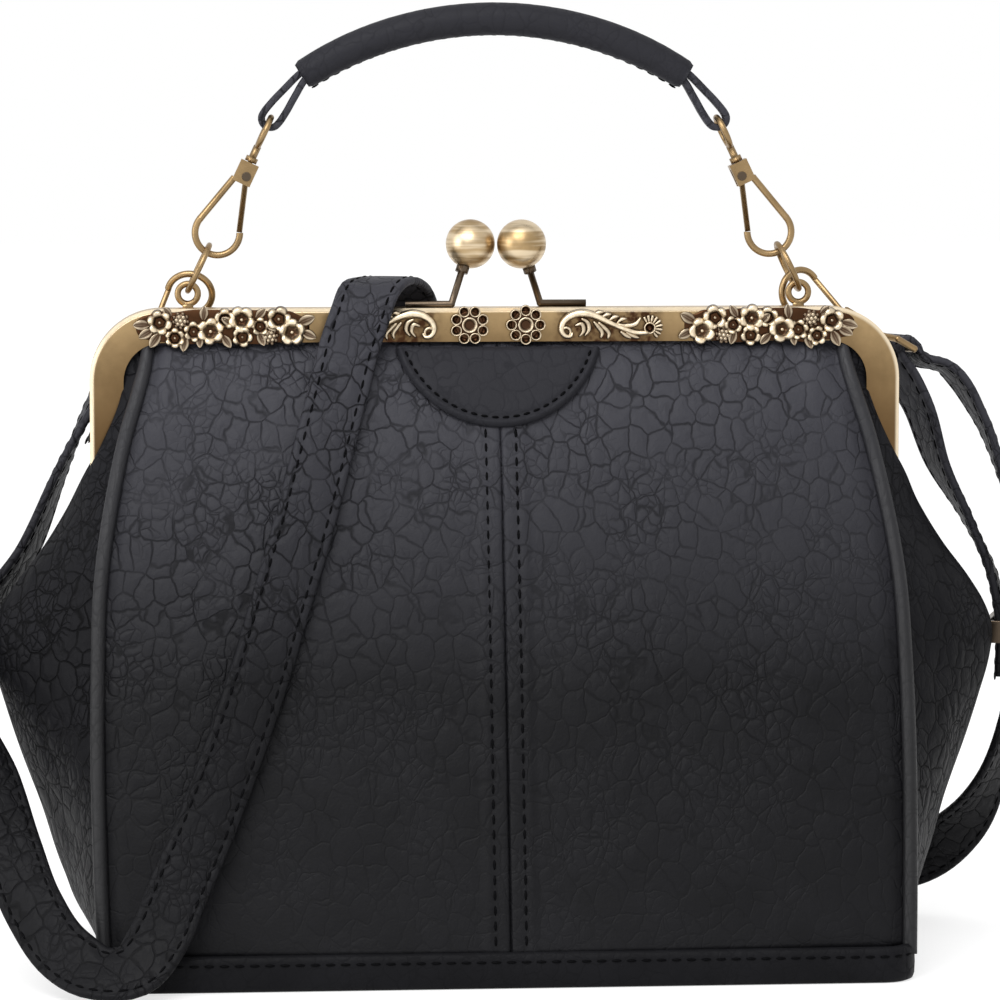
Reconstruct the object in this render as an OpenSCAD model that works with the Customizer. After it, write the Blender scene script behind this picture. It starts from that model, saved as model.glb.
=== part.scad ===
// Kiss lock frame handbag: two brass frame halves on a leg hinge, leather bag, short handle on swivel
// hooks and a long shoulder strap. +Z is up, the front faces -Y and the origin is at the base's middle.

/* [Frame] */
// Width across both legs of the frame
frame_w = 211; // [200:1:230]
// Height of the frame's top edge above the table
frame_top = 170; // [165:1:185]
// Height of the hinge pins above the table
hinge_z = 125.5; // [122:0.5:130]
// Width of the frame's channel, seen from the front
bar_h = 8.8; // [8:0.2:10]
// Thickness of one frame half, front to back
bar_t = 5.1; // [4.8:0.1:6]
// Outer radius of the frame's top corners
corner_r = 18.7; // [16:0.1:22]
// Sheet thickness of the frame's channel
channel_wall = 1; // [0.8:0.1:1.2]
// Diameter of the hinge pins
pin_d = 2.5; // [2:0.1:3]

/* [Kiss lock] */
// Diameter of each lock ball
ball_d = 12.8; // [11:0.2:14]
// Height of the balls' middles above the frame's top edge
ball_rise = 16.4; // [14:0.2:20]
// Diameter of the wire that carries each ball
lock_wire_d = 1.8; // [1.4:0.1:2.2]
// Length of each wire's foot along the frame
lock_foot = 12; // [8:0.5:16]

/* [Ornament] */
// Length of each flower spray
spray_l = 46.6; // [40:0.2:50]
// Diameter of one blossom
blossom_d = 5.8; // [5:0.1:7]
// Diameter of each rosette
rosette_d = 10.2; // [9:0.1:11]
// Distance of each rosette's middle from the bag's middle
rosette_x = 7.3; // [6:0.1:9]
// Length of each scroll
scroll_l = 29; // [26:0.5:32]

/* [Bag] */
// Width of the base
base_w = 208; // [195:1:220]
// Depth of the base
base_d = 104; // [90:1:120]
// Height of the base's turned-up edge
base_edge = 9.5; // [7:0.5:12]
// Width of the front panel between its pipings, at the belly
belly_w = 204; // [190:1:214]
// Greatest width over the side folds
fold_w = 263; // [240:1:275]
// Thickness of the leather
leather_t = 1.6; // [1.2:0.1:2]
// Thickness of the lining cloth
lining_t = 0.7; // [0.5:0.1:1]
// Diameter of the piping
piping_d = 3.8; // [3:0.1:4.4]
// Radius of the half-round tab under the lock
tab_r = 26.6; // [22:0.2:28]

/* [Handle] */
// Distance between the middles of the two rings that carry the handle
eye_span = 160; // [150:1:166]
// Height of the top of the grip's middle line above the frame
grip_rise = 74.7; // [70:0.5:85]
// Distance between the grip's two ends
grip_span = 100.2; // [90:1:110]
// Drop of the grip's ends below its middle
grip_drop = 14.8; // [12:0.2:18]
// Outer diameter of the leather grip
grip_d = 8.6; // [8.4:0.1:11]
// Width of the leather loops at the grip's ends
loop_w = 4; // [3.4:0.1:4]

/* [Hooks and rings] */
// Wire diameter of the swivel hooks
hook_wire_d = 1.8; // [1.6:0.1:2]
// Radius of a hook's bow, to the middle of the wire
bow_r = 5.8; // [5.6:0.1:6.4]
// Radius of a jump ring, to the middle of the wire
ring_r = 6.57; // [6.4:0.05:7]
// Wire diameter of a jump ring
ring_wire_d = 1.5; // [1.3:0.1:1.6]
// Radius of a frame eye, to the middle of its wire
eye_r = 2.6; // [2.5:0.1:3]
// Wire diameter of a frame eye
eye_wire_d = 1.7; // [1.5:0.1:1.8]

/* [Shoulder strap] */
// Width of the shoulder strap
strap_w = 15.5; // [12:0.5:17]
// Thickness of the shoulder strap
strap_t = 2.4; // [2:0.1:3]

/* [Hidden] */

brass = [0.66, 0.53, 0.36];
dark_bronze = [0.35, 0.29, 0.25];
pale_brass = [0.80, 0.70, 0.55];
black_leather = [0.13, 0.13, 0.15];
dark_cloth = [0.20, 0.20, 0.22];
board_grey = [0.45, 0.43, 0.40];

// Clearance between pieces that move past each other
play = 0.3;
// Clearance of a pin in its hole, on the radius
pin_play = 0.03;
fine = 48;

// The frame
half_gap = 0.3;
leg_in = frame_w / 2 - bar_h;
bar_bottom = frame_top - bar_h;
front_face = half_gap + bar_t;
leg_bottom = hinge_z + 4.6;
corner_x = frame_w / 2 - corner_r;
corner_z = frame_top - corner_r;
channel_mouth = bar_t - 2 * channel_wall;
channel_back = 1.4;
lug_r = 4.2;
lug_t = 1.6;
crimp_d = 1.2;
bar_mid_z = frame_top - bar_h / 2;
relief = 1.2;

// The lock, for the ball on the left
ball_x = ball_d / 2 + 0.2;
ball_lean = 1;
ball_flat = ball_d / 2 - 0.05;
collar_h = 1.6;
lock_bend = [-11.8, -(half_gap + bar_t / 2), frame_top + lock_wire_d / 2];
ball_mid = [-ball_x, ball_lean, frame_top + ball_rise];

// The bag
belly_z = 60;
front_cut_z = hinge_z - 3.5;
lower_top_z = hinge_z - 7.5;
panel_neck = 3;
panel_power = 0.7;
flange_top = frame_top - channel_back - 1;
edge_drop = 4;
fold_z = 84;
gusset_slope = 14;
seam_gap = 0.1;
panel_inset = 0.3;
base_corner_r = 9;
board_t = 2;
lining_top_z = hinge_z - 23.5;
lining_gap = 0.5;

// Half the width of the front and back panels at height z
function panel_half(z) = lookup(z, [
    [0, base_w / 2 - 3.5], [belly_z, belly_w / 2], [100, leg_in + 4.5],
    [front_cut_z, leg_in + 1.3], [bar_bottom - 12, leg_in - 5.5], [bar_bottom, leg_in - 8]
]);

// How far the panel's outer face stands from the middle plane at height z
function panel_y(z) = z >= bar_bottom ? panel_neck :
    panel_neck + (base_d / 2 - panel_neck) * pow((bar_bottom - z) / bar_bottom, panel_power);

// The panel's face at x and z, drawn back a little towards its side edges
function panel_face(x, z) = panel_y(z)
    - edge_drop * min(1, max(0, (bar_bottom - z) / 30)) * pow(abs(x) / panel_half(z), 2.5);

// Half the width over the side folds at height z
function fold_half(z) = lookup(z, [
    [0, base_w / 2], [base_edge, base_w / 2 + 1.5], [18, base_w / 2 + 9], [32, fold_w / 2 - 12],
    [67, fold_w / 2 - 2.5], [fold_z, fold_w / 2], [97, fold_w / 2 - 5], [lower_top_z, leg_in + 16]
]);

// The handle hardware, laid out for the right side in the plane of the eyes
eye_y = front_face - 1.2;
eye_x = eye_span / 2;
eye_z = frame_top + eye_r + eye_wire_d / 2 + 0.05;
ring_lean = 25.6;
ring_seat = eye_r - eye_wire_d / 2 - ring_wire_d / 2 - 0.25;
ring_low = [eye_x, eye_z + ring_seat];
ring_mid = ring_low + ring_r * [-sin(ring_lean), cos(ring_lean)];
ring_tip = ring_low + 2 * ring_r * [-sin(ring_lean), cos(ring_lean)];
hook_lean = 25.2;
hook_axis = [-sin(hook_lean), cos(hook_lean)];
bow_inside = bow_r - hook_wire_d / 2 - ring_wire_d / 2 - play;
bow_lean = 33;
bow_mid = ring_tip + bow_inside * [-sin(bow_lean), cos(bow_lean)];
hook_top = 20.1;
arm_top = 15;
arm_angle = 14.7;
bow_end_angle = 25;
fork_low = 14.2;
fork_x = -2.4;
fork_w = 4.9;
fork_wall = 1.2;
fork_gap = 2;
fork_out = 4.2;
gate_pivot = [0.6, 16.4];
gate_d = 1.5;
rivet_d = 1.5;
stem_d = 1.3;
head_d = 1.9;
swivel_mid = 28.9;
swivel_r = 4.1;
swivel_wire_d = 1.6;
loop_seat = bow_mid + (swivel_mid + swivel_r - 0.3) * hook_axis;
loop_in = 1.45;
loop_t = 1.8;
grip_end = [grip_span / 2, frame_top + grip_rise - grip_drop];
grip_r = (pow(grip_span / 2, 2) + pow(grip_drop, 2)) / (2 * grip_drop);
grip_half_angle = asin(grip_span / 2 / grip_r);
grip_centre_z = frame_top + grip_rise - grip_r;
grip_wall = 0.85;
core_gap = 0.15;
tail_l = 6;

// The shoulder strap's hooks behind the frame
strap_bow_y = front_face + 3.6;
strap_bow_z = frame_top + 3.3;
dee_near = 26;
dee_far = 34;
dee_wire_d = 1.8;
dee_half = strap_w / 2 + 1.6;

// Route of the strap's middle line from the left hook, under the bag's left front corner, up across
// the front, over the frame, down across the back and up the right side to the right hook. Each row
// is a point and the direction of the strap's width there.
STRAP = [
    [[-102.5, 24, 145], [0.1, 0.9, 0.4]],
    [[-105.5, 23, 138], [0.1, 0.93, 0.3]],
    [[-114, 20, 125], [0.2, 0.97, 0.1]],
    [[-121.5, 17, 107], [0.35, 0.93, 0.05]],
    [[-134, 8, 88], [0.5, 0.85, 0.05]],
    [[-139, -8, 68], [0.7, 0.7, 0.1]],
    [[-131, -22, 50], [0.9, 0.4, 0.15]],
    [[-126, -33, 35], [0.9, 0.25, 0.35]],
    [[-120, -44, 21], [0.75, 0.15, 0.65]],
    [[-112, -53, 11], [0.5, 0.3, 0.8]],
    [[-103, -59, 7], [0.1, 0.7, 0.7]],
    [[-95, -60, 8], [-0.3, 0.6, 0.7]],
    [[-89, -57, 15], [-0.75, 0.3, 0.5]],
    [[-84, -53, 26], [-0.9, 0.1, 0.43]],
    [[-78, -48, 39], [-0.9, 0.05, 0.43]],
    [[-71, -42.5, 56], [-0.92, 0, 0.38]],
    [[-64, -37, 75], [-0.93, 0, 0.36]],
    [[-57, -31, 97], [-0.95, 0, 0.3]],
    [[-51, -25.5, 116], [-0.95, 0, 0.3]],
    [[-46, -20, 134], [-0.95, 0, 0.28]],
    [[-41.5, -14, 150], [-0.95, 0, 0.28]],
    [[-38.5, -10.8, 161], [-0.95, 0, 0.25]],
    [[-36, -9.8, 168], [-0.95, 0, 0.2]],
    [[-33.5, -6.5, 174], [-0.95, 0.1, 0.1]],
    [[-30, -1, 176.5], [-0.92, 0.3, 0]],
    [[-26.5, 5, 176.5], [-0.92, 0.35, 0]],
    [[-23.5, 10.5, 173], [-0.92, 0.2, -0.1]],
    [[-21, 14, 166], [-0.93, 0, -0.3]],
    [[-17, 17, 153], [-0.93, 0, -0.35]],
    [[-10, 21.5, 136], [-0.92, 0, -0.4]],
    [[-1, 28, 117], [-0.9, 0, -0.45]],
    [[11, 34.5, 96], [-0.87, 0, -0.5]],
    [[26, 40.5, 74], [-0.83, 0, -0.55]],
    [[43, 46.5, 53], [-0.78, 0, -0.62]],
    [[63, 52.5, 34], [-0.7, 0, -0.7]],
    [[84, 57, 20], [-0.5, 0, -0.85]],
    [[103, 56, 13], [-0.2, 0, -0.97]],
    [[118, 48, 15], [0.2, 0.1, -0.97]],
    [[129, 36, 25], [0.4, 0.5, -0.75]],
    [[136, 25, 41], [0.4, 0.8, -0.45]],
    [[140, 18, 61], [0.35, 0.9, -0.2]],
    [[142, 15, 83], [0.3, 0.95, 0]],
    [[141, 15, 105], [0.3, 0.95, 0.1]],
    [[137, 17, 124], [0.3, 0.93, 0.15]],
    [[131, 19, 140], [0.35, 0.9, 0.2]],
    [[124, 21, 151.5], [0.37, 0.9, 0.2]],
    [[115, 22.5, 158], [0.42, 0.9, 0.1]]
];

// The end that comes back from the right hook to the slider, inside the strap's own line.
STRAP_RETURN = [
    [[111, 20.5, 150.5], [0.3, 0.93, 0.2]],
    [[114.5, 20.5, 141], [0.3, 0.93, 0.2]],
    [[120, 19.5, 127], [0.3, 0.93, 0.15]],
    [[128, 17.5, 112], [0.3, 0.93, 0.1]],
    [[134.5, 15.5, 97], [0.3, 0.94, 0.05]],
    [[137, 14.5, 84], [0.3, 0.95, 0]],
    [[137, 15, 71], [0.3, 0.95, -0.1]]
];
slider_at = [139.5, 14.8, 83];

// The sizes of the bag that the routes above are drawn for
drawn_top = 170;
drawn_bottom = 161.2;
drawn_depth = 104;
drawn_fold_w = 263;
drawn_frame_w = 211;
drawn_base_w = 208;
drawn_eye_span = 160;
drawn_hook_z = 140;

// A point of a route moved to fit the bag's present height, depth and width
function fitted(p) =
    let (z = p[2] + (frame_top - drawn_top) * min(1, p[2] / drawn_hook_z),
         drawn_y = panel_neck + (drawn_depth / 2 - panel_neck)
             * pow(max(0, drawn_bottom - p[2]) / drawn_bottom, panel_power),
         out = max(0, fold_w - drawn_fold_w, frame_w - drawn_frame_w, base_w - drawn_base_w) / 2,
         low = min(1, max(0, (drawn_hook_z - p[2]) / 35)),
         at_side = abs(p[0]) > 100)
    [p[0] + sign(p[0]) * (at_side ? out * low + (eye_span - drawn_eye_span) / 2 : 0),
     p[1] + (at_side ? 0 : sign(p[1]) * (panel_y(z) - drawn_y)), z];

function fitted_rows(rows) = [for (r = rows) [fitted(r[0]), r[1]]];

function flat_list(rows) = [for (row = rows) for (p = row) p];

function unit(v) = v / max(norm(v), 1e-9);

// The outward normal of a grid of points, from its neighbours along both ways
function grid_normal(g, i, j) =
    let (m = len(g) - 1, n = len(g[0]) - 1,
         du = g[min(i + 1, m)][j] - g[max(i - 1, 0)][j],
         dv = g[i][min(j + 1, n)] - g[i][max(j - 1, 0)])
    unit(cross(du, dv));

function shifted_grid(g, d) = [for (i = [0:len(g) - 1]) [for (j = [0:len(g[0]) - 1])
    g[i][j] + d * grid_normal(g, i, j)]];

// The closed solid between a grid of points and the same grid set back by thickness t. The grid's
// first way crossed with its second way points outwards.
module thick_sheet(g, t) {
    m = len(g);
    n = len(g[0]);
    inner = m * n;
    function at(i, j) = i * n + j;
    faces = concat(
        [for (i = [0:m - 2]) for (j = [0:n - 2]) each [
            [at(i, j), at(i + 1, j + 1), at(i + 1, j)],
            [at(i, j), at(i, j + 1), at(i + 1, j + 1)],
            [inner + at(i, j), inner + at(i + 1, j), inner + at(i + 1, j + 1)],
            [inner + at(i, j), inner + at(i + 1, j + 1), inner + at(i, j + 1)]
        ]],
        [for (i = [0:m - 2]) each [
            [at(i, 0), at(i + 1, 0), inner + at(i + 1, 0)],
            [at(i, 0), inner + at(i + 1, 0), inner + at(i, 0)],
            [at(i + 1, n - 1), at(i, n - 1), inner + at(i, n - 1)],
            [at(i + 1, n - 1), inner + at(i, n - 1), inner + at(i + 1, n - 1)]
        ]],
        [for (j = [0:n - 2]) each [
            [at(0, j + 1), at(0, j), inner + at(0, j)],
            [at(0, j + 1), inner + at(0, j), inner + at(0, j + 1)],
            [at(m - 1, j), at(m - 1, j + 1), inner + at(m - 1, j + 1)],
            [at(m - 1, j), inner + at(m - 1, j + 1), inner + at(m - 1, j)]
        ]]
    );
    polyhedron(concat(flat_list(g), flat_list(shifted_grid(g, -t))), faces, convexity = 6);
}

// A closed tube through rings of points, each ring having the same count
module ring_tube(rings) {
    m = len(rings);
    n = len(rings[0]);
    sides = [for (i = [0:m - 2]) for (j = [0:n - 1]) each [
        [i * n + j, i * n + (j + 1) % n, (i + 1) * n + (j + 1) % n],
        [i * n + j, (i + 1) * n + (j + 1) % n, (i + 1) * n + j]
    ]];
    caps = [for (j = [1:n - 2]) each [
        [0, j + 1, j],
        [(m - 1) * n, (m - 1) * n + j, (m - 1) * n + j + 1]
    ]];
    polyhedron(flat_list(rings), concat(sides, caps), convexity = 8);
}

function tangent(pts, i) = unit(pts[min(i + 1, len(pts) - 1)] - pts[max(i - 1, 0)]);

// Rings of a round tube of diameter d along points; up is any direction that the tube never takes
function round_rings(pts, d, up, sides = 8) = [for (i = [0:len(pts) - 1])
    let (t = tangent(pts, i), a = unit(cross(t, up)), b = cross(a, t))
    [for (k = [0:sides - 1]) pts[i] + d / 2 * (cos(360 * k / sides) * a - sin(360 * k / sides) * b)]];

// Rings of a flat strap along rows of a point and a width direction
function strap_rings(rows, w, t) =
    let (pts = [for (r = rows) r[0]])
    [for (i = [0:len(rows) - 1])
        let (d = tangent(pts, i), a = unit(rows[i][1] - (rows[i][1] * d) * d), b = cross(d, a),
             x = w / 2, c = t / 2)
        [for (q = [[x, c / 2], [x - c / 2, c], [c / 2 - x, c], [-x, c / 2],
                   [-x, -c / 2], [c / 2 - x, -c], [x - c / 2, -c], [x, -c / 2]])
            pts[i] + q[0] * a + q[1] * b]];

// A round bar between two points
module rod(p, q, d) {
    v = q - p;
    translate(p)
        rotate([0, acos(v[2] / norm(v)), atan2(v[1], v[0])])
            cylinder(d = d, h = norm(v), $fn = fine);
}

// A ring of wire whose axis is Z
module wire_ring(r, d) {
    rotate_extrude($fn = fine) translate([r, 0]) circle(d = d, $fn = 24);
}

module both_sides() {
    children();
    mirror([1, 0, 0]) children();
}

// The frame's U, with the child drawn in the section: x inwards from the outer edge, y outwards from
// the middle plane
module frame_path(bottom) {
    translate([0, 0, frame_top])
        multmatrix([[0, 0, -1, 0], [0, -1, 0, 0], [-1, 0, 0, 0], [0, 0, 0, 1]])
            linear_extrude(2 * corner_x, center = true) children();
    both_sides() {
        translate([frame_w / 2, 0, bottom])
            rotate([0, 0, 180]) linear_extrude(corner_z - bottom) children();
        translate([corner_x, 0, corner_z])
            rotate([90, 0, 0]) rotate_extrude(angle = 90, $fn = fine)
                translate([corner_r, 0]) mirror([1, 0, 0]) children();
    }
}

module channel_section() {
    bevel = 1;
    difference() {
        polygon([[0, 0], [bar_h, 0], [bar_h, bar_t], [bevel, bar_t], [0, bar_t - bevel]]);
        translate([channel_back, channel_wall]) square([bar_h, channel_mouth]);
    }
}

// One frame half, with its hinge lugs inwards by lug_x from the legs' outer faces
module frame_half(lug_x) {
    difference() {
        union() {
            translate([0, -half_gap, 0]) frame_path(leg_bottom) channel_section();
            both_sides() {
                translate([frame_w / 2 - lug_x - lug_t, 0, hinge_z])
                    rotate([0, 90, 0]) cylinder(r = lug_r, h = lug_t, $fn = fine);
                translate([frame_w / 2 - lug_x - lug_t, -lug_r, hinge_z])
                    cube([lug_t, lug_r - half_gap, leg_bottom - hinge_z + 1]);
            }
        }
        translate([-frame_w / 2 - 1, 0, hinge_z]) rotate([0, 90, 0])
            cylinder(d = pin_d + 2 * pin_play, h = frame_w + 2, $fn = fine);
    }
}

module front_frame() {
    color(brass) frame_half(0);
}

module back_frame() {
    color(brass) mirror([0, 1, 0]) frame_half(lug_t + play);
}

module hinge_rivets() {
    outer_head = 0.9;
    shaft_out = frame_w / 2 + pin_play;
    shaft_in = frame_w / 2 - 2 * lug_t - play - pin_play;
    color(brass) both_sides() translate([0, 0, hinge_z]) rotate([0, 90, 0]) {
        translate([0, 0, shaft_in]) cylinder(d = pin_d, h = shaft_out - shaft_in, $fn = fine);
        translate([0, 0, shaft_out]) cylinder(r = 2.3, h = outer_head, $fn = fine);
        translate([0, 0, shaft_in - outer_head]) cylinder(r = 2.3, h = outer_head, $fn = fine);
    }
}

// A lock wire and its collar, for the ball at x = -ball_x whose foot lies along the front half
module lock_arm() {
    up = unit(ball_mid - lock_bend);
    seat = ball_mid - up * ball_flat;
    rod(lock_bend - [lock_foot, 0, 0], lock_bend, lock_wire_d);
    translate(lock_bend) sphere(d = lock_wire_d + 0.1, $fn = fine);
    rod(lock_bend, seat, lock_wire_d);
    rod(seat - up * collar_h, seat, lock_wire_d + 1.6);
}

// A ball with a flat where its collar meets it
module lock_ball() {
    up = unit(ball_mid - lock_bend);
    difference() {
        translate(ball_mid) sphere(d = ball_d, $fn = 96);
        rod(ball_mid - up * ball_d, ball_mid - up * ball_flat, ball_d);
    }
}

module front_lock_arm() {
    color(dark_bronze) lock_arm();
}

module front_lock_ball() {
    color(brass) lock_ball();
}

module back_lock_arm() {
    color(dark_bronze) rotate([0, 0, 180]) lock_arm();
}

module back_lock_ball() {
    color(brass) rotate([0, 0, 180]) lock_ball();
}

// Draws its children, laid out in x and z, on the front frame's face, t thick
module on_face(t) {
    translate([0, -front_face, 0]) rotate([90, 0, 0]) linear_extrude(t) children();
}

module blossom(x, z, turn) {
    petal_r = blossom_d * 0.23;
    on_face(relief) for (k = [0:4])
        translate([x + petal_r * 1.1 * cos(72 * k + turn), z + petal_r * 1.1 * sin(72 * k + turn)])
            circle(petal_r, $fn = 20);
    on_face(relief + 0.5) translate([x, z]) circle(blossom_d * 0.12, $fn = 20);
}

// Blossoms in two staggered rows on a thin backing, for the right side
module flower_spray() {
    step = (spray_l - blossom_d) / 9;
    first = frame_w / 2 - 11.8 - spray_l + blossom_d / 2;
    on_face(0.7) translate([first, bar_mid_z - 3.4]) square([spray_l - blossom_d, 6]);
    for (k = [0:9]) blossom(first + k * step, bar_mid_z - 0.9 + (k % 2 == 0 ? 2.1 : -2.3), 25 * k);
}

// A curled stem with a leaf at its outer end, for the right side
module scroll() {
    inner = 15.5;
    curl_r = 3.4;
    stem_r = 16;
    on_face(relief) {
        translate([inner + curl_r, bar_mid_z + 0.4]) difference() {
            circle(curl_r, $fn = fine);
            circle(curl_r - 1.3, $fn = fine);
        }
        translate([inner + curl_r, bar_mid_z + 0.4]) circle(0.9, $fn = 24);
        intersection() {
            translate([inner + curl_r + 6, bar_mid_z - 2.9 + stem_r]) difference() {
                circle(stem_r, $fn = 96);
                circle(stem_r - 1.4, $fn = 96);
            }
            translate([inner + curl_r - 1, bar_mid_z - 3]) square([scroll_l - 12, 3.6]);
        }
        for (k = [0:3])
            translate([inner + scroll_l - 2 - 3 * k, bar_mid_z + 0.8 - 0.5 * k])
                circle(1.9 - 0.1 * k, $fn = 24);
        translate([inner + scroll_l - 14, bar_mid_z - 1.6]) square([11, 2.2]);
    }
    on_face(relief + 0.5) translate([inner + scroll_l - 2, bar_mid_z + 0.8]) circle(0.8, $fn = 24);
}

// A round flower of eight cups about a larger one, for the right side
module rosette(turn) {
    cup_r = 1.25;
    difference() {
        union() {
            on_face(0.9) translate([rosette_x, bar_mid_z]) circle(rosette_d / 2 - 1.1, $fn = fine);
            on_face(relief + 0.4) for (k = [0:7])
                translate([rosette_x + (rosette_d / 2 - cup_r) * cos(45 * k + turn),
                           bar_mid_z + (rosette_d / 2 - cup_r) * sin(45 * k + turn)])
                    circle(cup_r, $fn = 24);
            on_face(relief + 0.4) translate([rosette_x, bar_mid_z]) circle(1.6, $fn = 24);
        }
        translate([0, -1, 0]) on_face(relief) for (k = [0:7])
            translate([rosette_x + (rosette_d / 2 - cup_r) * cos(45 * k + turn),
                       bar_mid_z + (rosette_d / 2 - cup_r) * sin(45 * k + turn)])
                circle(cup_r - 0.5, $fn = 24);
        translate([0, -1, 0]) on_face(relief) translate([rosette_x, bar_mid_z]) circle(1, $fn = 24);
    }
}

module left_flower_spray() {
    color(pale_brass) mirror([1, 0, 0]) flower_spray();
}

module right_flower_spray() {
    color(pale_brass) flower_spray();
}

module left_scroll() {
    color(pale_brass) mirror([1, 0, 0]) scroll();
}

module right_scroll() {
    color(pale_brass) scroll();
}

module left_rosette() {
    color(pale_brass) mirror([1, 0, 0]) rosette(22.5);
}

module right_rosette() {
    color(pale_brass) rosette(0);
}

module frame_eye() {
    translate([eye_x, eye_y, eye_z]) rotate([90, 0, 0]) wire_ring(eye_r, eye_wire_d);
    translate([eye_x - 1.4, eye_y - eye_wire_d / 2, frame_top])
        cube([2.8, eye_wire_d, eye_wire_d / 2]);
}

module left_frame_eye() {
    color(brass) mirror([1, 0, 0]) frame_eye();
}

module right_frame_eye() {
    color(brass) frame_eye();
}

module jump_ring() {
    translate([ring_mid[0], eye_y, ring_mid[1]]) rotate([0, -ring_lean, 0]) rotate([0, 90, 0])
        wire_ring(ring_r, ring_wire_d);
}

module left_jump_ring() {
    color(brass) mirror([1, 0, 0]) jump_ring();
}

module right_jump_ring() {
    color(brass) jump_ring();
}

module crimp_cord() {
    from_back = half_gap + channel_wall + channel_mouth - crimp_d / 2 - 0.1;
    translate([0, -from_back, 0]) frame_path(leg_bottom + 2)
        translate([channel_back + crimp_d / 2 + 0.1, 0]) circle(d = crimp_d, $fn = 24);
}

module front_crimp_cord() {
    color(black_leather) crimp_cord();
}

module back_crimp_cord() {
    color(black_leather) mirror([0, 1, 0]) crimp_cord();
}

// The right half of a panel from height z0 to z1, with its flange in the channel if it reaches it
module panel_half_sheet(z0, z1, cols = 5) {
    steps = 8;
    up_to = min(z1, bar_bottom - 1);
    body = [for (j = [0:steps]) z0 + (up_to - z0) * (1 - pow(1 - j / steps, 1.5))];
    heights = z1 > bar_bottom ? concat(body, [bar_bottom + 0.5, flange_top]) : body;
    g = [for (i = [0:cols]) [for (z = heights)
        let (x0 = seam_gap, x1 = panel_half(z) - panel_inset, x = x0 + (x1 - x0) * i / cols)
        [x, -panel_face(x, z), z]]];
    thick_sheet(g, leather_t);
}

module front_left_panel() {
    color(black_leather) mirror([1, 0, 0]) panel_half_sheet(base_edge + play, lower_top_z);
}

module front_right_panel() {
    color(black_leather) panel_half_sheet(base_edge + play, lower_top_z);
}

module front_left_panel_top() {
    color(black_leather) mirror([1, 0, 0]) panel_half_sheet(front_cut_z, flange_top);
}

module front_right_panel_top() {
    color(black_leather) panel_half_sheet(front_cut_z, flange_top);
}

module back_left_panel() {
    color(black_leather) mirror([1, 0, 0]) mirror([0, 1, 0])
        panel_half_sheet(base_edge + play, flange_top);
}

module back_right_panel() {
    color(black_leather) mirror([0, 1, 0]) panel_half_sheet(base_edge + play, flange_top);
}

// The middle of the piping beside a panel's edge at height z, for the front right corner
function piping_mid(z) = [panel_half(z) + piping_d / 2, -(panel_face(panel_half(z), z) - 1), z];

module piping(z0, z1) {
    steps = 9;
    pts = [for (k = [0:steps]) piping_mid(z0 + (z1 - z0) * k / steps)];
    ring_tube(round_rings(pts, piping_d, [0, 1, 0]));
}

module front_pipings() {
    color(black_leather) both_sides() piping(base_edge + 1, lower_top_z - 3);
}

module front_piping_tops() {
    color(black_leather) both_sides() piping(front_cut_z, bar_bottom - 3.5);
}

module back_pipings() {
    color(black_leather) mirror([0, 1, 0]) both_sides() piping(base_edge + 1, bar_bottom - 3.5);
}

// The right side's fold, from the front piping to the back one. Its top slopes down to the front, to
// leave room for the upper front panels, which turn down inside it.
module gusset() {
    cols = 12;
    rows = 9;
    g = [for (i = [0:cols]) [for (j = [0:rows])
        let (s = 2 * i / cols - 1,
             top_z = lower_top_z - gusset_slope * (1 - s) / 2,
             z = base_edge + play + (top_z - base_edge - play) * j / rows,
             p = piping_mid(z),
             edge_x = p[0],
             edge_y = -p[1] - piping_d / 2 - play)
        [edge_x + (fold_half(z) - edge_x) * (1 - pow(abs(s), 1.5)), s * edge_y, z]]];
    thick_sheet(g, leather_t);
}

module left_gusset() {
    color(black_leather) mirror([1, 0, 0]) gusset();
}

module right_gusset() {
    color(black_leather) gusset();
}

module rounded_rect(w, d, r) {
    square([w - 2 * r, d], center = true);
    square([w, d - 2 * r], center = true);
    for (x = [-1, 1], y = [-1, 1])
        translate([x * (w / 2 - r), y * (d / 2 - r)]) circle(r, $fn = fine);
}

module base_panel() {
    color(black_leather) difference() {
        linear_extrude(base_edge) rounded_rect(base_w, base_d, base_corner_r);
        translate([0, 0, leather_t]) linear_extrude(base_edge)
            rounded_rect(base_w - 2 * leather_t, base_d - 2 * leather_t, base_corner_r - leather_t);
    }
}

module base_board() {
    color(board_grey) translate([0, 0, leather_t]) linear_extrude(board_t)
        rounded_rect(base_w - 2 * leather_t - 1, base_d - 2 * leather_t - 1, base_corner_r - leather_t);
}

// The half-round tab that lies on the front panel under the lock
module front_tab() {
    cols = 14;
    rows = 4;
    centre_z = bar_bottom + 6.2;
    stand_off = 0.4;
    top_z = bar_bottom - 2.4;
    half = sqrt(pow(tab_r, 2) - pow(centre_z - top_z, 2)) - 0.6;
    g = [for (i = [0:cols]) [for (j = [0:rows])
        let (x = half * (2 * i / cols - 1),
             low = centre_z - sqrt(pow(tab_r, 2) - x * x),
             z = low + (top_z - low) * j / rows)
        [x, -panel_face(x, z), z]]];
    color(black_leather) thick_sheet(shifted_grid(g, stand_off + leather_t), leather_t);
}

// Points round the lining at height z, set in from the leather by d
function lining_ring(z, d) =
    let (x = panel_half(z) - 5 - d, y = panel_face(panel_half(z), z) - leather_t - 0.6 - d,
         mid_y = panel_face(0, z) - leather_t - 0.4 - d, f = fold_half(z) - leather_t - 3 - d)
    [for (p = [[-x, -y], [-x / 2, -(mid_y + y) / 2], [0, -mid_y], [x / 2, -(mid_y + y) / 2], [x, -y], [f, 0],
               [x, y], [x / 2, (mid_y + y) / 2], [0, mid_y], [-x / 2, (mid_y + y) / 2], [-x, y], [-f, 0]])
        [p[0], p[1], z]];

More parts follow.
